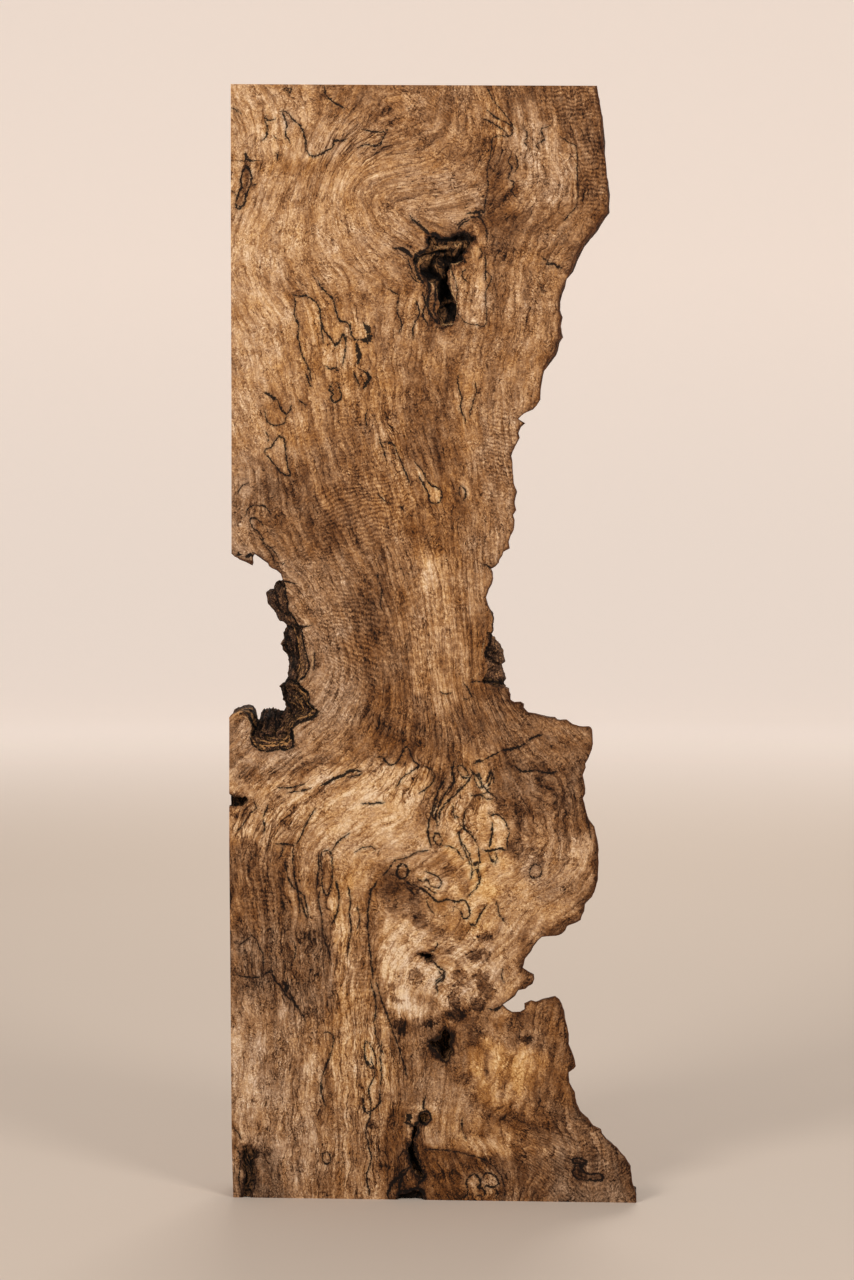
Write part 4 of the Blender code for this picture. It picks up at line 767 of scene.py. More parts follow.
    (0.2, 0.1, 4, 0.25, 194, 644, 195, 639, 196, 633), (0.2, 0, 4, 0.25, 54, 747, 59, 747, 64, 747),
    (0.2, 0.1, 4, 0.25, 97, 509, 98, 503, 99, 497), (0.2, 0, 4, 0.25, 44, 108, 45, 102, 46, 96),
    (0.2, 0.1, 4, 0.25, 155, 244, 157, 239, 158, 234),
]

# black zone lines, which in the bark's notch and the knot hole are partly painted shadow in clefts and under
# plates and rims: half width, then the points; a line that ends where it starts is a closed ring
zoneLines = [
    (0.5, 33.5, 732, 38, 731, 41, 727, 46, 723, 48, 720, 49, 716, 50, 712, 50, 708, 51, 704, 55.7, 702,
     60.6, 704, 64.5, 706, 68, 708.5, 69.7, 713, 73, 712, 78, 713.5),
    (0.45, 24, 730, 22, 726, 25.8, 726, 30.6, 727), (0.45, 22.9, 721, 24.8, 718, 22, 713.5, 20, 711.5),
    (0.4, 22, 726, 24.5, 722, 24.8, 718), (0.5, 28.7, 716, 30.6, 713.5),
    (0.45, 33.5, 732, 36, 728, 37.5, 723, 36.5, 717, 40, 710.5),
    (0.5, 9.3, 704.7, 11.3, 699, 8.4, 693, 6.4, 687, 7.4, 683.5, 4.5, 675.7, 3, 670, 5.5, 667, 9.3, 672,
     10.3, 677.7, 13.2, 683.5, 13.6, 689, 12.2, 695, 9.3, 704.7), (0.4, -0.3, 679.6, 3.5, 677.7, 4.5, 674),
    (0.5, 9.3, 704.7, 13, 699, 16, 699), (0.4, 13.2, 683.5, 17, 684),
    (0.4, 29.6, 705.7, 31.6, 702.8, 30.6, 699),
    (0.5, 62.5, 749, 63.5, 743, 66.4, 739.5, 71, 736.6, 77, 732.8),
    (0.35, 33.5, 747, 41, 747, 40, 744.5, 37, 744), (0.35, -0.3, 734.7, 3.5, 733, 7.4, 730),
    (0.4, 86.7, 720, 98, 718, 104, 719, 101, 713, 99, 709, 90.5, 709.6, 84.7, 707.6),
    (0.32, 169.8, 749, 172.7, 743, 175.6, 737.6, 180.4, 732, 185.3, 726, 188, 719, 186, 715, 180.5, 715.4,
     174.6, 714.4, 173.7, 707.6, 172.7, 701, 170.8, 691, 171.8, 683.5, 169.8, 672, 168.8, 664),
    (0.4, 170, 733, 176, 728, 183, 724, 187, 721), (0.4, 166, 727, 174, 724, 184, 717),
    (0.35, 187, 704, 185, 698, 188, 694, 184.5, 688, 189, 684, 187, 678, 191, 674),
    (0.35, 190, 702, 191, 695, 188, 690),
    (0.3, 218, 716, 225, 710.5, 229.8, 708.6, 230.5, 700, 230.7, 672, 226, 664, 220, 658),
    (0.55, 160, 664, 165, 666, 170, 665), (0.5, 161, 661, 167, 662.5, 170, 660),
    (0.5, 120, 662, 125, 657.5, 129, 655, 133, 650), (0.45, 109, 642, 115, 639.5, 119, 637, 122, 634),
    (0.45, 150, 656, 158, 661, 166, 661, 170, 654, 171, 646), (0.4, 169, 640, 170, 630, 170, 620, 172, 618),
    (0.35, 206, 636, 212, 632, 209, 629, 216, 631, 219, 627, 222, 630),
    (0.3, 204, 620, 208, 616, 206, 612, 212, 613), (0.3, 214, 722, 206, 719, 209, 713, 203, 709, 207, 705),
    (0.3, 193, 722, 198, 716, 195, 711, 200, 706),
    (0.4, 41, 611, 43, 606, 42, 596.5, 45, 590.7, 45, 581, 48, 569, 52, 561.5, 53.5, 552),
    (0.45, 41, 611, 46, 609, 50, 610, 54.8, 607, 58.6, 603, 60, 594.5, 62.5, 586.8, 67.3, 580, 70, 576,
     73, 580, 74, 584, 77, 584, 77, 578),
    (0.5, 57.7, 619.7, 61.5, 614, 68.3, 607, 69.7, 600, 72, 593.6, 79, 591.6, 80, 585, 82.8, 580,
     86.7, 581), (1.3, 86.7, 581, 91.5, 579, 92.5, 583, 90.5, 588.7, 88.6, 592.6),
    (1.2, 83.8, 579, 85.5, 571, 84.7, 564.6), (0.45, 60, 594, 61, 584, 62, 578),
    (0.45, 62.5, 563, 67, 561, 72, 562), (1.1, 87.6, 560, 90.5, 559, 92.5, 555, 90.5, 551, 87.6, 547.6),
    (0.5, 82, 560, 84, 554, 86, 549),
    (0.5, 68.3, 553, 65.4, 546.6, 69.3, 545.7, 66.4, 541, 70, 538.3, 73, 541, 73, 546.6, 71, 553),
    (0.55, 50, 558, 52, 553, 54, 548), (0.35, 77, 578, 76, 570, 74, 562),
    (1, 23, 545.7, 26.7, 543, 31.6, 540), (0.5, 31.6, 540, 33.5, 534, 36.4, 531, 39.3, 533, 40.3, 538),
    (0.5, 45, 541, 48, 538, 51, 536), (0.3, 22, 535, 24, 526, 30, 523, 36, 526, 37, 531),
    (0.45, 31.6, 515.7, 29, 512, 26.7, 509, 22, 506, 25.8, 501, 29.6, 497, 31.6, 493.5, 37.4, 489.6,
     40, 490.6, 37.4, 497, 36.4, 507, 35.4, 514.7, 31.6, 515.7), (0.35, 22, 520, 25, 516, 24, 511),
    (0.4, 9, 462, 11, 468, 17, 470, 24, 468, 27, 463), (0.4, 12, 458, 14, 462, 18, 460, 22, 455),
    (0.35, 3, 476, 6, 482, 12, 485), (0.3, 18, 450, 22, 444, 28, 440, 32, 433),
    (0.35, 152.4, 559, 151.5, 551.5, 154.3, 542, 153.4, 534, 156.3, 529, 157.3, 524.4),
    (0.35, 163, 553, 164, 545.7, 161, 536, 159, 529), (0.4, 98.3, 516.7, 102, 507, 104, 500),
    (0.4, 100, 512, 108, 511, 113.7, 499, 118.6, 487.7, 119, 484), (0.4, 98, 478, 104, 472, 108, 472),
    (0.6, 113, 471, 115, 467), (0.3, 91, 536, 90, 528, 92, 520),
    (0.45, 122.4, 500, 128, 493.5, 133, 484, 139, 482, 141, 478, 139, 472, 133, 472, 132, 477,
     125.3, 490.6), (0.45, 153.4, 484, 157, 480, 157, 475, 154.5, 473),
    (0.3, 153.4, 484, 152.6, 479, 154.5, 473), (0.7, 98.3, 424, 99, 420),
    (0.35, 99, 420, 101, 412, 100, 404, 102, 399), (0.5, 168, 431, 172, 430, 174.6, 428),
    (0.45, 168, 352.5, 160, 352), (0.4, 118, 636, 120, 628, 124, 620),
    (0.85, 59.6, 281, 67.3, 285, 75, 289, 81.8, 292, 88.6, 291), (0.5, 77, 287, 83, 288, 88.6, 290),
    (0.4, 29.6, 280, 40, 280, 50, 283), (0.4, 36.4, 276.4, 48, 278, 54, 280),
    (0.5, 41, 240, 46, 245.5, 48, 251, 52.8, 261, 56.7, 266.7), (0.45, 28.7, 241.6, 36.4, 241.6, 41, 241),
    (0.45, 85.7, 269.6, 94.4, 269.6, 104, 270.6),
    (0.4, 96.3, 300.6, 101, 301.5, 106, 295.7, 110, 296.7, 113.7, 301.5, 116.6, 308, 119.5, 306,
     122.4, 298.6, 126.3, 295, 121.5, 292, 115, 287, 110, 280),
    (0.4, 133, 292, 136, 286, 131, 280, 125.3, 276.4), (0.4, 128, 296, 134, 293, 137, 287, 133, 282),
    (0.35, 139, 274.5, 137, 268, 135, 261, 139, 257, 137, 252),
    (0.4, 152, 293, 156, 287, 159, 289, 157, 294, 153, 296, 152, 293),
    (0.4, 163, 290, 165, 282, 169, 281, 172.7, 282, 175.6, 292), (0.4, 163, 290, 166, 287, 168, 282),
    (0.35, 174.5, 282, 170, 276.4, 164, 276.4, 162, 273),
    (0.4, 154.3, 254, 153.4, 246.4, 157, 237.7, 161, 229, 166, 229, 167, 233, 166, 241.6),
    (0.35, 166, 241.6, 161, 249, 156, 254, 156, 262, 159, 268),
    (0.4, 187, 251, 183.4, 259, 177.6, 263, 174, 262, 173, 266),
    (0.8, 175.6, 258, 175.2, 251, 174.5, 245, 172.7, 238.7), (0.55, 172.7, 238.7, 180.4, 239.7, 186, 238.7),
    (0.4, 186, 238.7, 185.3, 245.5, 187, 251),
    (0.4, 172, 238.7, 174, 233, 176.6, 229, 178.5, 234, 176.6, 238.7),
    (0.4, 137, 250, 135.5, 246, 138, 242, 141, 241.6, 141, 247, 139, 250, 137, 250),
    (0.4, 133, 238.5, 125, 236.8, 117.6, 233, 110, 231, 106, 226, 101, 220),
    (0.4, 141, 241.6, 146, 241, 151.4, 238.7, 156.3, 231),
    (0.55, 119, 224, 117, 228, 113, 228, 111, 223.5, 113, 219, 117, 219.5, 119, 224),
    (0.5, 120.5, 216.5, 125, 213.6, 131, 210.7, 134, 206.8, 139, 203, 144.7, 205, 151.4, 203, 156.3, 205,
     160, 200, 160, 193, 156.3, 192.3, 153.4, 199),
    (0.4, 129, 224, 135, 222, 141, 218.4, 139, 212.6, 133, 214.5), (0.4, 131, 205, 133, 199, 137, 195),
    (0.35, 156, 207, 161, 208.7, 167, 217.4, 166, 226, 160, 222), (0.4, 178.5, 205, 180.5, 195, 185, 189),
    (0.3, 200, 222, 203, 229, 208, 228, 208, 222, 203, 220, 200, 222), (0.35, 238, 262, 240, 254, 242, 246),
    (0.6, 162, 296.7, 169.8, 299.6), (0.5, 169.8, 300, 180.5, 305.4),
    (0.75, 180.5, 305.4, 192, 308.3, 198, 311), (0.6, 198, 311, 202.7, 314.7, 209.4, 317),
    (0.75, 190, 296, 196, 292, 204, 293), (0.6, 204, 293, 212, 291, 219, 292),
    (0.45, 35.4, 232, 37.4, 220, 41, 212.6, 48, 207, 50, 199, 52, 192),
    (0.45, 41, 240, 41.5, 224, 45, 205, 46, 192), (0.4, 57.7, 236, 58.6, 228, 57.5, 219, 56.7, 210.7),
    (0.45, 60, 236, 66, 237, 67.5, 230, 67, 216, 64, 207, 61, 212, 60.5, 226, 60, 236),
    (0.75, 70.2, 218, 71.5, 210, 72.2, 203), (0.5, 72.2, 203, 70, 194, 66, 186),
    (0.5, 98.3, 218.4, 93.4, 208.7, 91.5, 191, 93, 170, 95, 150), (0.4, 41, 175.5, 43, 168.7, 40.7, 161),
    (0.45, -0.3, 156, 4.5, 152, 11.3, 150.4, 20, 151.3), (0.3, 20, 151.3, 21, 160, 20, 170),
    (0.8, 39.3, 140, 43, 132, 46, 128), (0.5, 46, 128, 48, 124, 50, 120),
    (0.4, 60.6, 112.7, 64, 114, 68, 112, 68.3, 108.8, 66.4, 99, 61.5, 85.6, 59.6, 74, 63, 62),
    (0.8, 60, 79, 61, 74), (0.5, 89.6, 108.8, 89.6, 99, 91.5, 91.4, 97.3, 89.5),
    (0.7, 90, 97, 92, 92.5, 96, 92), (0.4, 97.3, 89.5, 97.3, 95.3, 94.4, 104, 89.6, 108.8),
    (0.4, 101, 108.8, 100.2, 95.3, 101, 85.6, 100, 78),
    (0.5, 88.6, 72, 88.6, 62.4, 92.5, 59.5, 100, 66.3, 99.5, 75),
    (0.35, 61.4, 31, 61, 26, 64, 23.5, 66.5, 27, 65, 31.5, 61.4, 31),
    (0.75, 105, 0, 107, 9, 111, 14, 115, 19, 118, 22),
    (0.45, 93, 98, 96, 86, 92, 74, 94, 60, 90, 46, 94, 30, 91, 16, 93, 2),
    (0.45, 97, 150, 101, 136, 105, 125, 109, 114, 112, 105, 116, 94, 118.6, 82),
    (0.35, 96, 120, 98, 110, 103, 98), (0.4, 156.3, 58.5, 155.3, 50.8, 158, 41),
    (0.32, 129, 35, 144.7, 34.4, 160, 31.5, 169.8, 28.6, 177.6, 22.8, 182.4, 16, 184.3, 8.3, 185, 0),
    (0.55, 157, 1, 160, 8, 158, 13, 163, 18, 168, 14, 166, 9, 171, 8, 170, 3, 164, 4),
    (0.55, 168, 14, 172, 19, 178, 17, 181, 12, 176, 9, 172, 11, 171, 8), (0.5, 176, 9, 180, 6, 178, 2),
    (0.6, 229.8, 28.6, 235, 30.2, 240.2, 28, 239.4, 26, 235.9, 24.7, 237, 21.6, 241.5, 19.3, 249.3, 19.3,
     251, 17, 249.3, 15, 242.8, 15, 235, 15.4, 231.2, 17.7, 229.8, 20.8, 233.6, 24.7, 234.4, 26.6,
     231.2, 26.6, 229.8, 28.6), (0.7, 131, 72, 130, 68, 129, 64, 130, 60),
    (0.65, 122, 50, 119, 52, 117, 52.5), (0.75, 183.6, 133.9, 177, 130.5, 172, 132),
    (0.3, 138, 158, 142, 153, 138, 150, 137.5, 142), (0.5, 24.5, 269, 23, 265, 20.5, 259),
    (0.45, 20.5, 259, 22, 252, 20, 248), (0.4, 12, 262, 16, 266, 14, 272), (0.4, 2, 249, 6, 253, 10, 259),
    (0.35, 30, 230, 34, 236, 33, 243), (0.5, 0, 48, 4, 44, 6, 39), (0.4, 2, 36, 5, 26, 4, 12, 6, 1),
    (0.4, 144, 118, 142, 110, 134, 106), (0.9, 119, 662.5, 124, 658, 128, 655, 131, 652, 133, 649),
    (1.1, 131, 650, 137, 650, 141, 647, 147, 647.5, 151, 650), (0.8, 130, 648, 132, 643),
    (0.7, 107, 641, 114, 641, 119, 638, 122, 634), (1, 122, 634, 123.5, 629, 126, 622, 129, 617),
    (0.8, 128, 640, 124, 637, 122, 634), (0.7, 131, 621, 133, 613, 131, 604, 134, 596, 140, 590.5),
    (0.6, 136, 619, 137, 608, 135, 600, 138, 594), (0.5, 128, 613, 130, 604, 128, 596, 133, 589),
    (0.28, 169, 629, 171, 625, 174, 622, 172, 617, 170, 611, 170, 604, 171, 597, 170, 590, 164, 590.5,
     157, 592, 152, 597, 150, 604, 151, 614, 149, 622, 146, 629),
    (0.4, 158, 628, 154, 625, 155, 621, 159, 619), (0.9, 156, 663, 161, 665, 166, 664, 170, 665.5),
    (0.5, 150, 652, 154, 657, 160, 660), (0.5, 105, 615, 109, 612, 112, 610),
    (0.45, 112, 610, 111, 600, 114, 592, 112, 584), (0.45, 123, 608, 126, 598, 122, 590, 122, 580),
    (0.4, 118, 626, 122, 621, 126, 618), (0.4, 165, 642, 168, 638, 165, 634),
    (0.6, 161, 293, 163, 289, 165, 290.5, 167, 289, 168, 285, 169, 281),
    (0.6, 171, 284, 173, 289, 174.5, 292, 175.5, 289, 177, 284),
    (0.45, 165, 281, 170, 282, 172, 278, 177, 276, 178, 272),
    (0.4, 160, 277, 164, 275, 168, 276, 171, 273, 176, 274),
    (0.6, 162, 290, 158, 284, 152, 278, 147, 273, 143, 269, 140, 264, 140, 258),
    (0.6, 150, 300, 148, 292, 150, 285, 146, 280, 141, 272, 137, 262, 139, 255),
    (0.45, 155, 283, 150, 276, 144, 270),
    (0.6, 144, 288, 140, 280, 136, 270, 134, 262, 132, 252, 133, 245, 135, 240),
    (0.45, 149, 270, 149, 264, 150, 260, 154, 261), (0.6, 153, 256, 158, 252, 162, 250),
    (0.4, 157, 254, 153, 251, 153, 247, 156, 242, 160, 236, 161, 231, 163, 229),
    (0.8, 160, 230, 163, 229, 166, 231), (0.5, 162, 228, 162, 222, 160, 218),
    (0.5, 166, 229, 166, 221, 167.5, 215), (0.7, 168, 239, 172, 238, 177, 239, 181, 240, 184, 238),
    (0.9, 163, 297, 166, 298.5, 169, 299), (0.5, 139, 176, 137, 171, 133, 169),
    (0.55, 135, 164, 139, 159, 143, 157, 142, 152, 138, 147, 139, 141), (0.4, 141, 160, 144, 155, 141, 148),
    (0.35, 183, 160, 182, 154, 184, 148), (0.5, 160, 190, 163, 187, 168, 196, 172, 202),
    (0.6, 34.4, 421, 35.2, 417, 36.2, 411, 37.4, 405, 37.3, 400.6, 40, 396.4, 42.8, 392.4, 44.6, 389.4),
    (0.6, 44.6, 389.4, 47.2, 384, 48, 378, 50, 370, 52, 362.4, 51.2, 358.8, 49.4, 355.6, 43.4, 350.8),
    (0.7, 43.4, 350.8, 47.4, 347.2, 50.2, 345, 51.6, 341.8, 51.8, 338.2, 54, 334.6, 57.6, 331.6),
    (0.9, 59, 331.6, 55, 327.8, 50.8, 326, 44.2, 323.8, 41.6, 321.6, 40.2, 317.2, 41.2, 312.6, 41.6, 308,
     39.2, 306), (0.6, 39.2, 306, 31, 305.4, 21.6, 304.6, 15.4, 307.6, 13.2, 310.4, 11.5, 315),
    (0.7, 11.5, 315, 13.6, 317, 13.9, 319.6, 13.2, 323.4, 12.2, 327.2, 10.6, 330),
    (0.45, 38, 388.5, 44, 389, 49, 388.6, 54, 389), (0.4, 34, 419.5, 37, 419, 40, 418, 45, 417.6),
    (0.4, 31, 431.5, 34, 430.5, 37, 431.5), (0.35, 12, 460, 14, 455, 20, 450, 22, 443, 27, 437, 29, 430),
    (1.2, 3.4, 436.4, 5, 437, 6.6, 436.6), (1.3, 9.6, 434.6, 11, 437, 13.4, 436.8, 14.6, 434.6),
    (0.4, 1, 330.4, 6, 332.6, 11, 333, 14, 330, 15, 324, 14.5, 318),
    (0.35, 2, 327.8, 7, 330, 11, 328.6, 12.6, 322), (0.35, 55.5, 373, 56, 365, 55, 358),
    (0.5, 123, 634.6, 128, 636.4, 134, 637.8, 139, 639.8, 144, 640.4),
    (0.6, 132, 650, 131.4, 646, 132.4, 642.6, 128, 638.6, 124, 635.4, 121.6, 633),
    (0.35, 140, 346, 144, 343, 148, 345), (1.1, 155.6, 340.8, 157, 340, 158, 340.4),
    (0.4, 155.5, 352, 158, 349, 160, 345, 162, 341),
    (0.9, 105, 0, 106, 6, 108, 11, 110, 14.5, 113, 15.5, 116, 17, 118, 20, 121, 23),
    (0.8, 112, 1, 113, 6, 114, 12, 116, 17),
    (1.6, 119.6, 35, 121, 31, 122.4, 26, 125.4, 21.6, 128, 18.6, 131, 15),
    (1, 131, 15, 127.4, 12.4, 125, 9.6), (0.8, 123, 51, 122.6, 45, 121.6, 39, 119.8, 34.6),
    (0.7, 126.4, 51, 125.4, 45, 123.4, 40), (0.35, 119, 34, 115, 33, 113, 29, 111, 26, 112.4, 23.6),
    (0.6, 130.4, 60.6, 127.6, 59.6, 126.2, 56.6, 127.2, 53.4, 130, 52, 133, 52.8, 134.6, 55.4, 133.8, 58.8,
     130.4, 60.6), (1.5, 118.4, 59, 119.4, 56.4, 118, 53.6), (1, 115.6, 53, 119, 52.6, 122.6, 50.4),
    (0.9, 122.6, 50.4, 125, 52, 127.6, 54.4),
    (1, 110.6, 2.4, 114, 5.4, 120, 6.6, 126, 8, 129.4, 4.4, 131.4, 0),
    (0.4, 60, 212, 58, 205, 60, 195, 61, 182, 64, 172, 66, 165),
    (0.4, 78, 214, 80, 204, 79, 195, 80, 186, 79, 176, 78, 165), (0.35, 84, 202, 86, 192, 84, 184),
    (0.45, 93, 150, 96, 140, 97, 128, 95, 120), (0.5, 20, 151, 26, 156, 28, 150, 33, 144, 37, 138, 41, 134),
    (1.4, 34, 148, 37, 145, 36, 140), (0.3, -0.3, 176, 5, 173, 10, 177, 14, 179, 18, 172, 21, 165, 20, 158),
    (0.3, 82, 236, 88, 239.6, 95, 240.5, 97, 237), (0.5, 116, 219, 119, 216, 122, 214),
    (0.7, 118, 213, 121, 210, 124, 208), (0.4, 124, 220, 128, 217, 131, 219, 134, 214),
    (0.4, 128, 211, 131, 214, 135, 210, 139, 209), (0.5, 46, 206, 48, 198, 51, 190),
    (0.4, 66, 236, 72, 244, 80, 250),
]

# painted highlights: thin bright lines beside them, glints on the ridges in the pockets and on the bark's
# plates, in the same form
glintLines = [
    (0.5, 146.6, 629, 147.2, 622, 146.8, 616, 149, 610, 150.8, 604, 150.8, 598),
    (0.45, 147, 631.4, 150, 631, 154, 633), (0.4, 149.4, 627, 151.2, 621, 150.4, 615),
    (0.75, 122.4, 630, 124.5, 626, 127, 622), (0.4, 124, 634, 128, 635, 132, 634.8),
    (0.4, 132.6, 619, 135, 616, 134.6, 613), (0.4, 135.6, 618, 137.2, 614, 138, 611),
    (0.35, 130, 609, 131, 604, 130.4, 600), (0.35, 125, 603, 128, 599, 131, 595),
    (0.35, 141, 590.2, 145, 590.6, 149, 591.2), (0.35, 134, 643.4, 140, 641.8, 146, 642.2),
    (0.4, 148, 646, 150, 643, 153, 645.4), (0.75, 163.4, 634, 164.5, 637, 166, 640.5),
    (0.5, 160, 641, 162, 637, 160.5, 634), (0.4, 41, 387, 43, 380, 44, 372, 45, 365, 44, 358, 42, 351),
    (0.3, 44, 368, 43, 362, 41, 357), (0.4, 37, 350, 42, 348.5, 46, 345, 50, 341, 53, 336),
    (0.35, 38, 346.5, 43, 345, 47, 342, 50.5, 337, 53, 333.5), (0.35, 36, 342, 41, 341, 46, 337, 49, 333),
    (0.3, 36, 337, 41, 337, 45, 333.5), (0.4, 60, 330, 54, 329, 48, 327.6, 43, 325.6, 41, 323.4),
    (0.5, 13, 309, 18, 306, 24, 305.2, 31, 305.8, 39, 307),
    (0.35, 17, 311, 22, 308.5, 28, 308.5, 33, 309, 38, 310, 40, 313),
    (0.35, 20, 312, 26, 311, 32, 311.5, 36, 313, 38, 317, 38, 321), (0.3, 24, 314.5, 30, 314, 34, 316),
    (0.4, 42.4, 312, 41.8, 317, 43, 320.6, 47, 323), (0.4, 2, 331.6, 7, 334, 12, 334.2, 15.4, 331, 16, 326),
    (0.4, 1, 328.8, 6, 331.2, 10, 331.8, 13, 328, 14, 322, 13.6, 318),
    (0.35, 3, 326.6, 8, 328.2, 11, 326, 12, 321), (0.4, 53.5, 372, 54.5, 366, 54, 360),
    (0.4, 170, 381, 168.6, 374, 168.4, 366), (0.35, 166, 361, 164, 356, 160, 354),
]

# outlines of the pale cells inside some of those lines, of the brown ones, and of brown smudges
paleCells = [
    (157, 1, 160, 8, 158, 13, 163, 19, 170, 18, 178, 18, 181, 12, 177, 6, 172, 2, 164, 1),
    (103, 190, 108, 197, 116, 192, 126, 185, 134, 179, 131, 172, 140, 161, 146, 168, 151, 160, 141, 150,
     142, 138, 150, 131, 136, 126, 122, 124, 112, 122, 106, 130, 103, 145, 101, 165, 102, 180),
    (31.6, 515.7, 22, 506, 31.6, 493.5, 37.4, 489.6, 40, 490.6, 36.4, 507, 35.4, 514.7),
    (122.4, 500, 128, 493.5, 133, 484, 139, 482, 141, 478, 139, 472, 133, 472, 132, 477),
    (175.6, 261, 174.5, 251, 173.7, 241.6, 180.4, 239.7, 186, 238.7, 185.3, 245.5, 187, 251, 183.4, 259,
     177.6, 263), (152, 293, 156, 287, 159, 289, 157, 294, 153, 296),
    (89, 108, 89.6, 99, 92, 92, 97, 92, 94.4, 104), (131, 434, 134, 430, 134, 416, 129, 414, 127, 424),
    (86, 592, 84, 586, 87, 582, 91, 585, 89, 592), (119, 64, 127, 66, 130, 60, 124, 52, 118, 58),
    (2, 248, 6, 253, 11, 258, 14, 264, 16, 256, 8, 246), (163, 290, 165, 282, 169, 281, 168, 290),
]
brownCells = [
    (10, 700, 7, 690, 7.4, 683.5, 4, 675, 4, 669, 9.3, 672, 10.3, 677.7, 13.2, 683.5, 13, 693),
    (230, 28.6, 235, 30, 240, 28, 236, 24.7, 237, 21.6, 241.5, 19.3, 250, 19, 250, 15.2, 235, 15.6,
     230.4, 18.6, 233.6, 24.7, 234.4, 26.6),
    (146, 119, 150, 117, 150, 107, 148, 100, 145, 95, 138, 96, 133.5, 100, 133, 106, 136, 112, 141, 115),
    (90.5, 54, 93, 55, 96, 53, 96, 49, 92, 48), (61.5, 230, 66, 229, 66.5, 214, 63.5, 209, 61, 215),
    (3, 263, 12, 266, 11, 259, 2, 258), (97, 423, 99, 425, 99, 420, 97.6, 419.5),
    (31.6, 147, 35, 149, 39, 146, 39.3, 139.5, 34, 139),
]
smudges = [
    (119, 156, 124, 158, 130, 154, 128, 148, 121, 147), (106, 148, 110, 147, 110, 139, 117, 135, 108, 136),
    (147, 147.5, 160, 148, 160, 145.5, 147, 146), (162, 155, 168, 157, 173.7, 154, 171, 149, 164, 150),
    (165, 148, 172, 149, 178, 146, 177, 138, 169, 139),
    (143.7, 128, 148, 131, 153, 132, 158, 128, 154, 123, 146, 124),
    (110, 122, 114, 124, 117.6, 119, 114, 112, 110, 115),
    (128, 122, 134, 123, 139, 120, 133, 118, 128, 119),
    (126, 168.5, 131, 169.5, 136, 166, 137, 163, 133, 162, 130, 165),
    (194, 112, 201, 113, 204, 110, 197, 108), (165, 181, 173, 183, 176, 179, 167, 177),
    (165, 171, 172, 170, 174, 165, 168, 163, 158, 166), (161, 138, 169, 138, 170, 131, 163, 130),
    (149, 156, 158, 156, 158, 151, 150, 150), (123, 195, 131, 194, 131, 186, 124, 185),
    (146, 140, 152, 142, 154, 134, 148, 133),
]


def inkedLine(numbers, step=1.1):
    # a smooth, slightly unsteady line through listed points, given as x and z in turn
    points = np.array(numbers, float).reshape(-1, 2)
    ring = bool((points[0] == points[-1]).all())
    before = points[-2] if ring else 2 * points[0] - points[1]
    after = points[1] if ring else 2 * points[-1] - points[-2]
    knots = np.vstack([before, points, after])
    curve = []
    for first, start, end, last in zip(knots, knots[1:], knots[2:], knots[3:]):
        count = max(1, int(np.hypot(*(end - start)) / step))
        part = (np.arange(count) / count)[:, None]
        bend = 2 * first - 5 * start + 4 * end - last
        twist = 3 * start - first - 3 * end + last
        curve.append(start + 0.5 * ((end - first) * part + bend * part ** 2 + twist * part ** 3))
    curve = np.vstack(curve + [points[-1:]])
    curve += 0.45 * wobble(upright(curve), 2.6, 21)
    if ring:
        curve[-1] = curve[0]
    return curve, ring


def closeTo(curve, places, reach):
    # the places inside the line's box once that is widened by the reach
    return np.flatnonzero(((places > curve.min(0) - reach) & (places < curve.max(0) + reach)).all(axis=1))


def besideLine(places, curve, ring):
    # signed distance from each place to the line, and how far along it that is
    start, run = curve[:-1], np.diff(curve, axis=0)
    length = np.hypot(*run.T) + 1e-9
    across = np.column_stack([-run[:, 1], run[:, 0]]) / length[:, None]
    corner = np.vstack([across[:1], across[:-1] + across[1:], across[-1:]])
    if ring:
        corner[0] = corner[-1] = across[0] + across[-1]
    away = places[:, None] - start
    part = np.clip((away * run).sum(2) / length ** 2, 0, 1)
    gap = np.hypot(*np.moveaxis(away - part[..., None] * run, 2, 0))
    nearest = gap.argmin(axis=1)
    row = np.arange(len(places))
    part = part[row, nearest]
    toPlace = away[row, nearest] - part[:, None] * run[nearest]
    facing = (1 - part)[:, None] * corner[nearest] + part[:, None] * corner[nearest + 1]
    side = np.where((toPlace * facing).sum(1) < 0, -1.0, 1.0)
    travelled = np.concatenate([[0], np.cumsum(length)])
    return side * gap[row, nearest], travelled[nearest] + part * length[nearest], travelled[-1]


def inkLayers(places, corners, depth=3):
    # the few nearest lines at the corners of every triangle, as signed distance, half width, and whether the
    # line is a painted highlight
    nearest = np.full((depth, len(corners)), 99.0)
    painted = np.zeros((depth, len(corners), 3, 3))
    painted[..., 0] = 9.0
    centre = places[corners].mean(axis=1)
    for glint, (width, *numbers) in [(0, line) for line in zoneLines] + [(1, line) for line in glintLines]:
        curve, ring = inkedLine(numbers)
        close = closeTo(curve, centre, 6)
        if not len(close):
            continue
        used, order = np.unique(corners[close], return_inverse=True)
        gap, along, total = besideLine(places[used], curve, ring)
        taper = 1.0 if ring else np.clip(np.minimum(along, total - along) / min(4.0, total / 3), 0, 1) ** 0.6
        values = np.column_stack([gap, width * taper * np.ones(len(used)), np.full(len(used), glint)])
        values = values[order.ravel()].reshape(-1, 3, 3)
        distance = np.abs(values[..., 0]).min(axis=1)
        for layer in range(depth):
            closer = distance < nearest[layer, close]
            swapped, farther = painted[layer, close], nearest[layer, close]
            painted[layer, close] = np.where(closer[:, None, None], values, swapped)
            nearest[layer, close] = np.where(closer, distance, farther)
            values = np.where(closer[:, None, None], swapped, values)
            distance = np.where(closer, farther, distance)
    print("lines drawn:", len(zoneLines) + len(glintLines))
    return painted.reshape(depth, -1, 3)


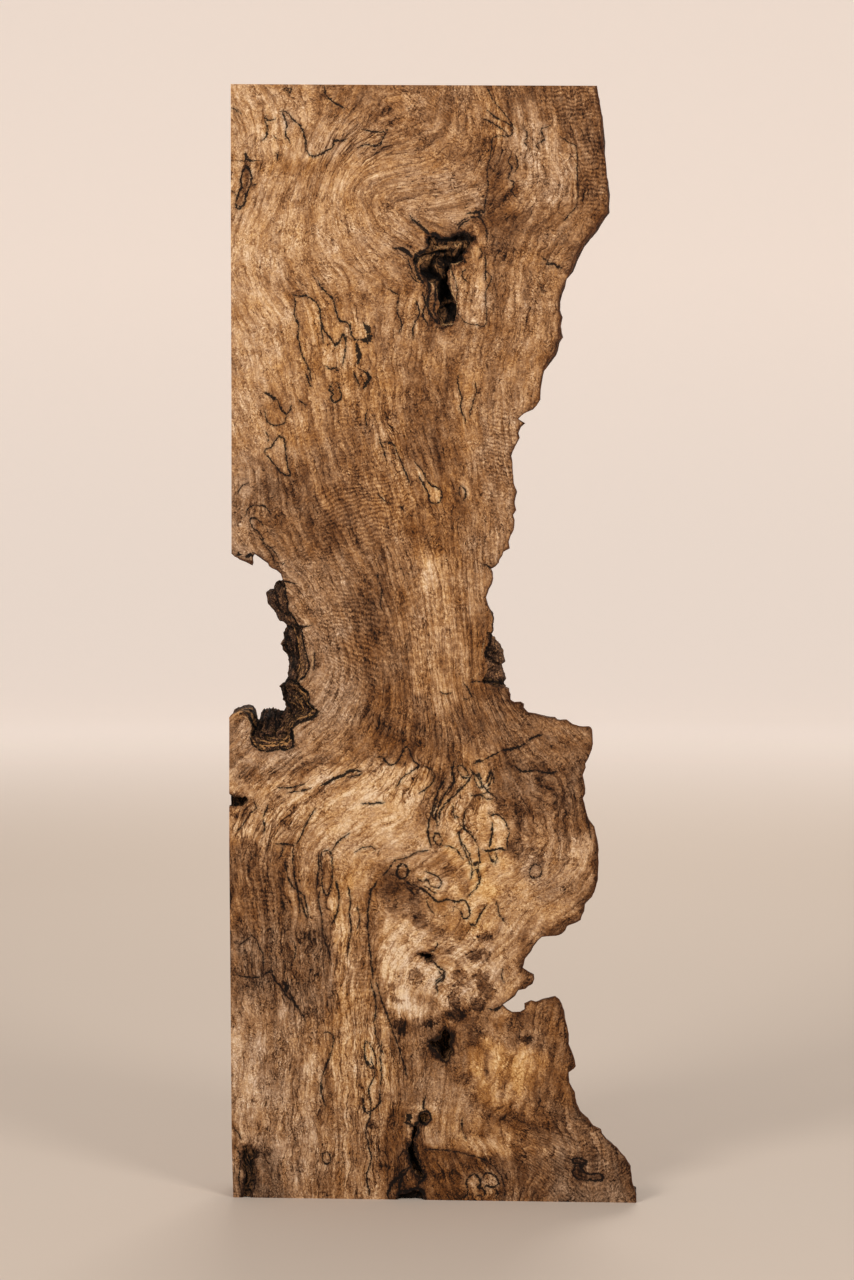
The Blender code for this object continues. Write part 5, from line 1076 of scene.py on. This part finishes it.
def insideOutlines(places, outlines, limit=9.0):
    # distance into the nearest outline, negative outside it
    result = np.full(len(places), -limit)
    for numbers in outlines:
        curve, ring = inkedLine(numbers + numbers[:2])
        close = closeTo(curve, places, limit)
        if not len(close):
            continue
        x, z = places[close].T
        gap = np.abs(besideLine(places[close], curve, ring)[0])
        inside = np.zeros(len(close), bool)
        for (startX, startZ), (endX, endZ) in zip(curve[:-1], curve[1:]):
            if startZ != endZ:
                crossing = (startZ > z) != (endZ > z)
                inside ^= crossing & (x < startX + (z - startZ) * (endX - startX) / (endZ - startZ))
        result[close] = np.maximum(result[close], np.where(inside, gap, -gap))
    return result


def grainMap(cell=3.0, left=-12.0, right=288.0, low=-12.0, high=762.0, reach=15.0):
    # two even fields over the face: how far across the fibres and how far along them
    xs, zs = np.arange(left, right, cell), np.arange(low, high, cell)
    gridX, gridZ = np.meshgrid(xs, zs)
    heading = np.zeros(gridX.shape + (2,))
    for x, z, angle in grainRuns:
        weight = np.exp(-((gridX - x) ** 2 + (gridZ - z) ** 2) / (2 * reach ** 2)) + 1e-9
        heading += weight[..., None] * np.array([np.cos(radians(angle)), np.sin(radians(angle))])
    heading /= np.linalg.norm(heading, axis=2)[..., None] + 1e-9
    fields = []
    for slopeX, slopeZ in ((-heading[..., 1], heading[..., 0]), (heading[..., 0], heading[..., 1])):
        # the field whose slope fits best everywhere, by a Fourier transform of the mirrored map
        flowX = (slopeX[:, 1:] + slopeX[:, :-1]) / 2 * cell
        flowZ = (slopeZ[1:] + slopeZ[:-1]) / 2 * cell
        source = np.diff(np.pad(flowX, ((0, 0), (1, 1))), axis=1)
        source += np.diff(np.pad(flowZ, ((1, 1), (0, 0))), axis=0)
        mirrored = np.block([[source, source[:, ::-1]], [source[::-1], source[::-1, ::-1]]])
        waveZ, waveX = [2 * np.cos(2 * np.pi * np.arange(size) / size) - 2 for size in mirrored.shape]
        wave = waveZ[:, None] + waveX[None]
        wave[0, 0] = 1
        spectrum = np.fft.fft2(mirrored) / wave
        spectrum[0, 0] = 0
        fields.append(np.fft.ifft2(spectrum).real[:len(zs), :len(xs)])

    def look(places):
        column = np.clip((places[:, 0] - left) / cell, 0, len(xs) - 1.001)
        row = np.clip((places[:, 1] - low) / cell, 0, len(zs) - 1.001)
        c, r = column.astype(int), row.astype(int)
        u, v = column - c, row - r
        found = []
        for field in fields:
            lower = field[r, c] * (1 - u) + field[r, c + 1] * u
            upper = field[r + 1, c] * (1 - u) + field[r + 1, c + 1] * u
            found.append(lower * (1 - v) + upper * v)
        return found
    return look


def paintTone(places, across, along):
    # the broad patches blended, then the brush strokes over them; edges are drawn out along the fibres
    grain = np.column_stack([across / 3.2, np.zeros(len(places)), along / 26])
    moved = places + (wobble(grain, 1.0, 31) * 4.0 + wobble(upright(places), 11, 33) * 3.0)
    total = np.full(len(places), 1e-4)
    tone, warmth = total * 0.45, total * 0.1
    for x, z, wide, high, patchTone, patchWarmth in broadPatches:
        weight = np.exp(-1.6 * (((moved[:, 0] - x) / wide) ** 2 + ((moved[:, 1] - z) / high) ** 2) ** 1.4)
        total += weight
        tone += weight * patchTone
        warmth += weight * patchWarmth
    tone, warmth = tone / total, warmth / total
    for strokeTone, strokeWarmth, wide, strength, *numbers in brushStrokes:
        curve, ring = inkedLine(numbers, 3.0)
        close = closeTo(curve, moved, 2.2 * wide)
        if not len(close):
            continue
        share = np.clip(1.45 - np.abs(besideLine(moved[close], curve, ring)[0]) / wide, 0, 1) * strength
        tone[close] += (strokeTone - tone[close]) * share
        warmth[close] += (strokeWarmth - warmth[close]) * share
    return tone, warmth


def insideSpots(places, spots):
    # how strongly each place lies in soft round-cornered spots: x, z, half width, half height, strength
    result = np.zeros(len(places))
    for x, z, wide, high, strength in spots:
        fall = np.exp(-(((places[:, 0] - x) / wide) ** 2 + ((places[:, 1] - z) / high) ** 2) ** 2)
        result = np.maximum(result, fall * strength)
    return result


# where the figure changes: curled cross bars, fine dark specks, and dark growth lines along the grain
curlSpots = [
    (228, 735, 26, 16, 0.8), (240, 690, 12, 34, 0.9), (130, 738, 30, 10, 0.5), (178, 505, 12, 36, 0.8),
    (90, 468, 34, 30, 0.9), (60, 440, 30, 14, 0.5), (205, 690, 16, 28, 0.4), (150, 160, 34, 22, 0.6),
    (80, 384, 28, 44, 0.8), (138, 386, 30, 50, 0.5), (84, 524, 50, 40, 0.35), (196, 300, 30, 12, 0.3),
    (90, 140, 16, 30, 0.5), (232, 28, 40, 30, 0.6), (20, 205, 20, 30, 0.5), (65, 620, 24, 14, 0.3),
]
speckSpots = [
    (135, 685, 34, 18, 0.9), (165, 700, 12, 40, 0.8), (120, 620, 16, 34, 0.8), (160, 605, 11, 20, 0.9),
    (200, 620, 18, 40, 0.7), (205, 700, 14, 24, 0.8), (60, 330, 28, 30, 0.8), (55, 395, 24, 36, 0.8),
    (100, 510, 24, 50, 0.7), (12, 520, 14, 24, 0.7), (14, 460, 16, 20, 0.7), (165, 455, 18, 20, 0.6),
    (130, 450, 20, 24, 0.7), (40, 640, 40, 34, 0.55), (210, 295, 30, 16, 0.8), (14, 300, 18, 14, 0.6),
    (215, 225, 24, 16, 0.7), (128, 215, 20, 12, 0.6), (170, 10, 14, 12, 1), (100, 70, 14, 40, 0.5),
    (98, 35, 8, 30, 0.8), (40, 85, 22, 60, 0.45), (130, 100, 16, 20, 0.6), (120, 400, 20, 40, 0.5),
    (90, 640, 30, 40, 0.4), (230, 275, 14, 16, 0.6), (20, 150, 22, 30, 0.4), (64, 28, 8, 14, 0.8),
]
stripeSpots = [
    (30, 215, 44, 34, 0.6), (56, 160, 56, 50, 0.75), (84, 90, 36, 60, 0.9), (36, 60, 34, 60, 0.6),
    (80, 25, 40, 34, 0.8), (60, 285, 64, 12, 0.9), (120, 285, 30, 18, 1), (150, 265, 20, 34, 0.9),
    (30, 255, 34, 22, 1), (90, 258, 40, 18, 0.35), (136, 228, 26, 12, 0.7), (215, 255, 34, 40, 0.5),
    (205, 700, 40, 44, 0.4), (90, 715, 34, 26, 0.7), (190, 600, 26, 44, 0.4), (112, 110, 14, 34, 0.9),
    (200, 90, 34, 34, 0.3), (230, 110, 14, 30, 0.6), (200, 30, 40, 26, 0.3), (14, 730, 20, 20, 0.4),
    (64, 590, 24, 30, 0.35), (110, 520, 20, 50, 0.5), (134, 350, 14, 40, 0.5), (80, 325, 40, 16, 0.4),
    (180, 340, 30, 14, 0.5),
]


def pocketShade(places):
    # how light the folds on the pockets' floors and the plates of the bark are
    shade = np.full(len(places), 0.4)
    for tone, wide, *numbers in pocketFolds:
        curve, ring = inkedLine(numbers, 2.0)
        close = closeTo(curve, places, 2 * wide)
        if len(close):
            share = np.clip(1.5 - np.abs(besideLine(places[close], curve, ring)[0]) / wide, 0, 1)
            shade[close] += (tone - shade[close]) * share
    return shade


def addField(mesh, name, values, domain="POINT"):
    field = mesh.attributes.new(name, "FLOAT_VECTOR", domain)
    field.data.foreach_set("vector", np.ascontiguousarray(values, np.float32).ravel())


def paintSlab(mesh):
    coordinates = np.zeros(len(mesh.vertices) * 3, np.float32)
    mesh.vertices.foreach_get("co", coordinates)
    solid = inMillimetres(coordinates)
    depth = np.clip(solid[:, 1] / slab["thickness"], 0, 1)
    places = solid[:, [0, 2]] + depth[:, None] * slab["backDrift"] * wobble(solid, 40, 41)
    across, along = grainMap()(places)
    tone, warmth = paintTone(places, across, along)
    addField(mesh, "grain", np.column_stack([across, along, solid[:, 1]]))
    stripes = insideSpots(places, stripeSpots)
    addField(mesh, "tone", np.column_stack([tone, warmth, stripes]))
    wander = places + 4 * wobble(upright(places), 9, 43)
    curl, specks = insideSpots(wander, curlSpots), insideSpots(wander, speckSpots)
    addField(mesh, "figure", np.column_stack([curl, specks, crackNearness(solid[:, [0, 2]])]))
    corners = np.array([list(face.vertices) for face in mesh.polygons])
    rims = [rimNearness(mesh, solid, corners, kind) for kind in (bark, hollow)]
    addField(mesh, "rims", np.column_stack(rims + [solid[:, 1]]))
    layers = inkLayers(places, corners)
    for order, values in enumerate(layers):
        addField(mesh, "ink%d" % order, values, "CORNER")
    cells = [insideOutlines(places, outlines) for outlines in (paleCells, brownCells, smudges)]
    addField(mesh, "cells", np.column_stack(cells))
    spots = solid[:, [0, 2]]
    # its second part marks where black shade is painted in the deepest hollows of the pockets
    relief = [pocketShade(spots), insideOutlines(spots, blackShadeOutlines), thickBark(solid)]
    addField(mesh, "relief", np.column_stack(relief))
    print("figure painted on", len(solid), "corners")
    return len(layers)


def rimNearness(mesh, solid, corners, kind):
    # distance in millimetres from each corner to the nearest bark or pocket at the front face
    skin = np.zeros(len(mesh.polygons), int)
    mesh.polygons.foreach_get("material_index", skin)
    rough = np.zeros(len(mesh.vertices), bool)
    rough[corners[skin == kind].ravel()] = True
    indexes = np.flatnonzero(rough & (solid[:, 1] < 4))
    tree = KDTree(len(indexes))
    for order, index in enumerate(indexes):
        tree.insert(solid[index], order)
    tree.balance()
    return np.array([min(tree.find(place)[2], 30.0) for place in solid])


# ramps from pale to dark of the greyish and of the golden wood, and single colours
woodColours = {
    "pink": [(0, 238, 214, 190), (0.2, 204, 171, 142), (0.4, 162, 128, 100), (0.6, 117, 89, 67),
             (0.78, 80, 57, 41), (0.92, 51, 33, 22), (1, 26, 15, 9)],
    "gold": [(0, 248, 214, 160), (0.2, 217, 168, 107), (0.4, 175, 122, 68), (0.6, 132, 84, 42),
             (0.78, 93, 54, 24), (0.92, 58, 33, 14), (1, 27, 15, 8)],
    "ink": srgb(15, 10, 8),
    "inkStain": srgb(74, 47, 32),
    "rim": srgb(74, 40, 21),
    "glint": srgb(226, 182, 130),
}


def drawnLines(wires, flat, grit, layerCount):
    # the black lines, the stain round them and the bright lines of painted highlight, from the fields on the
    # triangles
    ink = stain = glint = None
    jagged = flat.swirl((3, 3, 3), 0.8).stretched(1.9, 2.3, 1.9).cloud(2, 0.85)
    blobs = flat.shifted((3, 0, 5)).stretched(3.2, 4.2, 3.2).cloud(2, 0.7)
    for order in range(layerCount):
        gap, width, kind = wires.painted("ink%d" % order).parts()
        away = abs(gap + jagged * 1.1)
        black = 1 - kind
        drawn = width.between(0.02, 0.12) * black
        solid = (away - width * (blobs * 1.8 + 1.15)).fading(-0.2, 0.2) * drawn
        spurs = (away - width).fading(0.3, 1.8) * (jagged + grit).between(0.45, 0.8) * drawn
        near = (away + blobs * 0.6).fading(0.2, 2.4) * width.between(0.02, 0.3) * black
        shine = (abs(gap + jagged * 0.8) - width * (blobs * 1.6 + 0.8)).fading(-0.25, 0.25) * kind
        solid = solid.most(spurs * 0.8)
        ink = solid if ink is None else ink.most(solid)
        stain = near if stain is None else stain.most(near)
        glint = shine if glint is None else glint.most(shine)
    glint = glint * (grit + blobs * 0.8).between(-0.7, 0.5)
    return ink, stain, glint


def makeWood(layerCount):
    item, wires, shader = newMaterial("spaltedMapleSawn")
    grain = wires.painted("grain")
    tone, warmth, stripes = wires.painted("tone").parts()
    curl, specks, _ = wires.painted("figure").parts()
    barkRim, hollowRim, _ = wires.painted("rims").parts()
    pale, brown, smudge = wires.painted("cells").parts()
    flat = wires.millimetres()

    # soft clouds and the bands that follow the fibres
    cloud = flat.stretched(16, 20, 16).cloud(3, 0.55)
    mottle = flat.swirl((6, 6, 6), 2.5).stretched(5, 6, 5).cloud(2, 0.6)
    bent = grain.swirl((11, 18, 16), 3.0)
    curly = bent.swirl((3.4, 4.6, 4), 1.2)
    broad = bent.stretched(8, 70, 30).cloud(2, 0.5)
    streak = bent.stretched(2.6, 30, 22).cloud(3, 0.62)
    patch = curly.stretched(7, 22, 14).cloud(2, 0.5).between(-0.06, 0.14)
    ring = (curly.parts()[0] * 0.21 + broad * 0.9).repeated()
    ring = ring * ring * ring
    ringed = flat.shifted((70, 0, 30)).stretched(15, 20, 15).cloud(1, 0.5).between(-0.3, 0.3)
    busy = flat.shifted((0, 0, 90)).stretched(11, 14, 11).cloud(2, 0.55).between(-0.35, 0.45)

    # thin dark lines, worm-like hairs, fibres and specks
    growthLine = abs(curly.stretched(4.6, 60, 24).cloud(2, 0.55)).fading(0, 0.07)
    hair = abs(curly.shifted((40, 0, 0)).stretched(2.6, 7, 12).cloud(1, 0.5)).fading(0, 0.1)
    worm = abs(curly.shifted((0, 20, 0)).stretched(2.2, 4.2, 2.4).cloud(1, 0.5)).fading(0, 0.18)
    fur = curly.stretched(1.0, 1.4, 1.0).cloud(1, 0.6)
    fibre = curly.shifted((0, 30, 0)).stretched(0.9, 3.6, 0.9).cloud(1, 0.6)
    grit = flat.swirl((3.6, 3.6, 3.6), 1.7).stretched(1.1, 1.2, 1.1).cloud(1, 0.7)
    dash = curly.shifted((0, 9, 0)).stretched(0.9, 1.7, 0.9).cloud(1, 0.5).between(0.32, 0.55)
    speck = flat.swirl((4, 4, 4), 2.0).stretched(1.4, 1.4, 1.4).cloud(2, 0.85).between(0.2, 0.5)
    ripple = (bent.parts()[1] * 0.4 + flat.stretched(9, 30, 9).cloud(1, 0.5) * 0.5).repeated()
    bars = abs(ripple - 0.5) * 4 - 1

    # the shade, from 0 pale to 1 dark: the painted tone, and what each part of the figure adds
    shade = tone + cloud * 0.11 + mottle * 0.13 + broad * 0.06 + streak * (stripes * 0.2 + 0.12)
    shade = shade + (ring - 0.25) * ringed * 0.28 + (patch - 0.5) * 0.12
    shade = shade + stripes * (growthLine * 0.45 - 0.04) + hair * (stripes * 0.16 + busy * 0.17)
    shade = shade + worm * busy * (specks * 0.2 + 0.1) + dash * (busy * 0.24 + 0.08)
    shade = shade + specks * (speck * 0.42 - 0.04)
    shade = shade + fur * (0.19 - stripes * 0.09) + fibre * (stripes * 0.13 + 0.03)
    shade = shade + grit * (busy * 0.18 + 0.18) + curl * bars * 0.15

    # pale and brown cells, smudges, the darker wood beside bark, and a darker band round the pockets' rims,
    # all with a ragged fringe
    fringe = flat.stretched(2.4, 3, 2.4).cloud(2, 0.65)
    shade = shade - (pale + fringe * 0.8).between(-0.5, 0.6) * 0.13
    shade = shade + (brown + fringe * 0.8).between(-0.5, 0.6) * 0.2
    shade = shade + (smudge + fringe * 2.6 + grit * 1.2).between(-1.2, 0.8) * 0.34
    thick = wires.painted("relief").parts()[2]
    shade = shade + (barkRim + fringe * 1.6).fading(0.3, 4.5) * (1 - thick) * 0.15
    shade = shade + (hollowRim + fringe * 2.4 + dash * 1.6).fading(0, 3.4) * 0.36
    edge = (barkRim + fringe * 0.5).fading(0.15, 1.1) * (1 - thick)

    ink, stain, glint = drawnLines(wires, flat, grit, layerCount)
    warm = warmth * 0.5 + 0.48 + cloud * 0.34 + streak * 0.3 + mottle * 0.18 - fur * 0.26
    warm = warm.least(1.0).most(0.0)
    colour = shade.ramp(woodColours["pink"]).over(shade.ramp(woodColours["gold"]), warm)
    colour = colour.over(woodColours["rim"], edge * 0.75)
    # painted highlight: the glint colour along the bright lines
    colour = colour.over(woodColours["inkStain"], stain * 0.4).over(woodColours["glint"], glint * 0.6)
    colour = colour.over(woodColours["ink"], ink * 0.95)

    saw = flat.swirl((50, 50, 50), 0.8).stretched(300, 300, 2.1).cloud(1, 0.4)      # faint marks of the saw
    height = fur * 0.5 + grit * 0.5 + saw * 0.2 - ink * 0.7 - dash * 0.4
    plug(shader, Base_Color=colour, Roughness=0.72 + fur * 0.05 - ink * 0.08, Normal=height.bump(0.6, 0.0003),
         IOR=1.42, Specular_IOR_Level=0.14)
    return item


barkColours = {
    "plates": [(0, 14, 10, 8), (0.3, 52, 35, 28), (0.56, 108, 74, 53), (0.82, 156, 118, 88),
               (1, 214, 158, 100)],
    "pocket": [(0, 9, 6, 5), (0.3, 38, 26, 18), (0.55, 98, 68, 44), (0.8, 160, 116, 74),
               (1, 208, 160, 108)],
    "crack": srgb(14, 10, 8),
    "cambium": srgb(150, 92, 52),
    "ochreHighlight": srgb(214, 158, 100),
}


def makeBark(layerCount):
    item, wires, shader = newMaterial("mapleLiveEdge")
    place = wires.millimetres()
    crack = wires.painted("figure").parts()[2]
    barkRim, _, depth = wires.painted("rims").parts()
    fold, _, thick = wires.painted("relief").parts()
    warped = place.swirl((18, 18, 18), 4).swirl((5, 5, 5), 1.2)
    pleats = warped.stretched(16, 2.4, 16).cloud(3, 0.65)
    strands = warped.stretched(1.8, 20, 11).cloud(3, 0.65)
    lumps = place.stretched(6, 6, 6).cloud(3, 0.65)
    grit = place.stretched(1.2, 1.2, 1.3).cloud(2, 0.75)
    fissures = abs(warped.stretched(10, 5, 10).cloud(2, 0.6)).fading(0.02, 0.16)
    low = (place.parts()[2] + lumps * 6).fading(345, 356)
    layer = ((depth + lumps * 1.6 + pleats * 0.5) * 0.42).repeated()
    groove = layer.fading(0, 0.22).most(layer.between(0.86, 1)) * (low * 0.75 + 0.15)
    shade = fold + lumps * 0.26 + pleats * (0.26 + low * 0.2) + strands * 0.3 + grit * (thick * 0.3 + 0.55)
    colour = shade.ramp(barkColours["plates"])
    # painted highlight: ochre gleams along the layers of bark near the front
    gleam = (layer + grit * 0.35).between(0.6, 0.8) * depth.fading(4, 15) * (low * 0.55 + 0.1)
    colour = colour.over(barkColours["ochreHighlight"], gleam)
    cambium = barkRim.fading(0.5, 3) * (0.3 + strands * 0.6) * (1 - thick)
    colour = colour.over(barkColours["cambium"], cambium.most(0.0).least(0.7))
    dark = (fissures * 0.6).most(crack.between(0.25, 0.75) * 0.9).most(groove)
    colour = colour.over(barkColours["crack"], dark)
    ink, _, glint = drawnLines(wires, place, grit, layerCount)
    shallow = depth.fading(14, 24)
    # painted highlight along the bright lines near the front
    colour = colour.over(barkColours["ochreHighlight"], glint * shallow * 0.85)
    # painted shadow in part: these black lines also darken the bark's clefts and the undersides of its plates
    colour = colour.over(barkColours["crack"], ink * shallow)
    height = lumps * 0.5 + pleats * 0.5 + strands * 0.3 + grit * 0.3 - fissures * 0.9 - groove
    plug(shader, Base_Color=colour, Roughness=0.8 - grit * 0.08, Normal=height.bump(1.0, 0.0014),
         Specular_IOR_Level=0.14)
    return item


def makeHollow(layerCount):
    item, wires, shader = newMaterial("darkPocket")
    place = wires.millimetres()
    depth = wires.painted("rims").parts()[2]
    fold, voidShade, _ = wires.painted("relief").parts()
    warped = place.swirl((16, 16, 16), 9).swirl((5, 5, 5), 1.2)
    folds = warped.stretched(1.3, 6, 7).cloud(2, 0.65)
    lumps = place.stretched(5, 5, 6).cloud(3, 0.6)
    grit = place.swirl((3, 3, 3), 1.2).stretched(0.9, 0.9, 1.5).cloud(2, 0.7)
    fissures = abs(warped.stretched(3.2, 9, 12).cloud(1, 0.5)).fading(0.02, 0.18)
    # painted shade: the pockets' floors darker the deeper they lie
    shallow = depth.fading(1, 13)
    # painted shade: black in the deepest hollows of the pockets' floors
    black = (voidShade + lumps * 1.2 + grit * 0.9).between(-0.6, 0.6)
    shade = fold + lumps * 0.12 + folds * 0.34 + grit * 0.36 + shallow * 0.12 - fissures * 0.34 - black * 0.34
    # the bright lines give painted highlight on the pockets' ridges
    ink, _, glint = drawnLines(wires, place, grit, layerCount)
    colour = shade.ramp(barkColours["pocket"])
    # the black lines here are partly painted shadow under the pockets' rims
    colour = colour.over(woodColours["glint"], glint * 0.7).over(woodColours["ink"], ink)
    height = folds * 0.6 + lumps * 0.4 + grit * 0.3 - fissures * 0.6 - black
    plug(shader, Base_Color=colour, Roughness=0.78 - grit * 0.06, Normal=height.bump(1.0, 0.0012),
         Specular_IOR_Level=0.12)
    return item


def makeSlab():
    bm = makeSlabMesh()
    roughen(bm)
    for edge in bm.edges:
        kinds = {face.material_index for face in edge.link_faces}
        crease = len(kinds) > 1 or kinds == {sawn} and edge.calc_face_angle(0.0) > radians(35)
        edge.smooth = not crease
    for face in bm.faces:
        face.smooth = True
    mesh = bpy.data.meshes.new("burlSlab")
    bm.to_mesh(mesh)
    bm.free()
    piece = bpy.data.objects.new("burlSlab", mesh)
    bpy.context.scene.collection.objects.link(piece)
    layerCount = paintSlab(mesh)
    for material in (makeWood(layerCount), makeBark(layerCount), makeHollow(layerCount)):
        mesh.materials.append(material)
    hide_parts("burl_slab")
    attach(piece, "root")
    print("finishes on, slab done")


studio = {
    "colours": [(0, 204, 190, 178), (1, 238, 226, 217)],    # near the slab, and far away
    "glows": [(0, 0, 0, 0), (1, 238, 226, 217)],            # the lamps hardly reach so far
    "halfWidth": 6.0,
    "frontY": -5.0,
    "wallY": 4.6,
    "wallTop": 4.0,
    "bend": 0.8,                # size of the curve between floor and wall
    "wallGlow": 0.38,
    "farAway": (2.5, 13.0),     # square of the distance at which the glow starts, and is full
    "lampColour": (1.0, 0.95, 0.88),
    "lampAim": (0.0, 0.0, 0.35),
    "roomColour": (1.0, 0.95, 0.9, 1.0),
    "roomStrength": 0.35,
}
softboxes = {   # power, size and place
    "leftSoftbox": (31.3, 0.7, (-1.3, -1.9, 1.7)),
    "rightSoftbox": (23.9, 0.7, (1.5, -1.8, 1.6)),
    "backSoftbox": (30.0, 1.2, (0.1, 2.3, 2.0)),
}
view = {        # fits the photograph
    "lens": 100,
    "sensorHeight": 36,
    "place": (0.1262, -2.3986, 0.5371),
    "turn": (86.219, -0.079, 3.153),
}


def makeStudio():
    bm = bmesh.new()
    bmesh.ops.create_grid(bm, x_segments=1, y_segments=1, size=1.0)
    for vert in bm.verts:
        vert.co.x *= studio["halfWidth"]
        vert.co.y = studio["wallY"] if vert.co.y > 0 else studio["frontY"]
    back = [edge for edge in bm.edges if all(vert.co.y > 0 for vert in edge.verts)]
    raised = bmesh.ops.extrude_edge_only(bm, edges=back)["geom"]
    for vert in raised:
        if isinstance(vert, bmesh.types.BMVert):
            vert.co.z = studio["wallTop"]
    corner = [edge for edge in bm.edges
              if all(abs(vert.co.z) < 1e-6 and vert.co.y > 0 for vert in edge.verts)]
    bmesh.ops.bevel(bm, geom=corner, offset=studio["bend"], segments=16, profile=0.5, affect="EDGES",
                    material=-1)
    bmesh.ops.recalc_face_normals(bm, faces=bm.faces)
    for face in bm.faces:
        face.smooth = True
    mesh = bpy.data.meshes.new("backdrop")
    bm.to_mesh(mesh)
    bm.free()
    sweep = bpy.data.objects.new("backdrop", mesh)
    bpy.context.scene.collection.objects.link(sweep)
    item, wires, shader = newMaterial("paleBackdrop")
    across, deep, height = wires.node("TexCoord", output="Object").parts()
    mix = (across * across + deep * deep + height * height).between(*studio["farAway"])
    plug(shader, Base_Color=mix.ramp(studio["colours"]), Roughness=0.85,
         Emission_Color=mix.ramp(studio["glows"]), Emission_Strength=studio["wallGlow"])
    mesh.materials.append(item)


def addLightsAndCamera():
    scene = bpy.context.scene
    for name, (power, size, place) in softboxes.items():
        light = bpy.data.lights.new(name, "AREA")
        light.energy, light.size, light.color = power, size, studio["lampColour"]
        lamp = bpy.data.objects.new(name, light)
        lamp.location = place
        lamp.rotation_euler = (Vector(studio["lampAim"]) - Vector(place)).to_track_quat("-Z", "Y").to_euler()
        scene.collection.objects.link(lamp)
    world = bpy.data.worlds.new("softRoom")
    world.use_nodes = True
    background = world.node_tree.nodes["Background"]
    background.inputs["Color"].default_value = studio["roomColour"]
    background.inputs["Strength"].default_value = studio["roomStrength"]
    scene.world = world
    scene.view_settings.view_transform = "Standard"
    lens = bpy.data.cameras.new("camera")
    lens.lens, lens.sensor_fit, lens.sensor_height = view["lens"], "VERTICAL", view["sensorHeight"]
    camera = bpy.data.objects.new("camera", lens)
    camera.location = view["place"]
    camera.rotation_euler = [radians(angle) for angle in view["turn"]]
    scene.collection.objects.link(camera)
    scene.camera = camera
    print("studio, lights and camera set")


makeSlab()
makeStudio()
addLightsAndCamera()
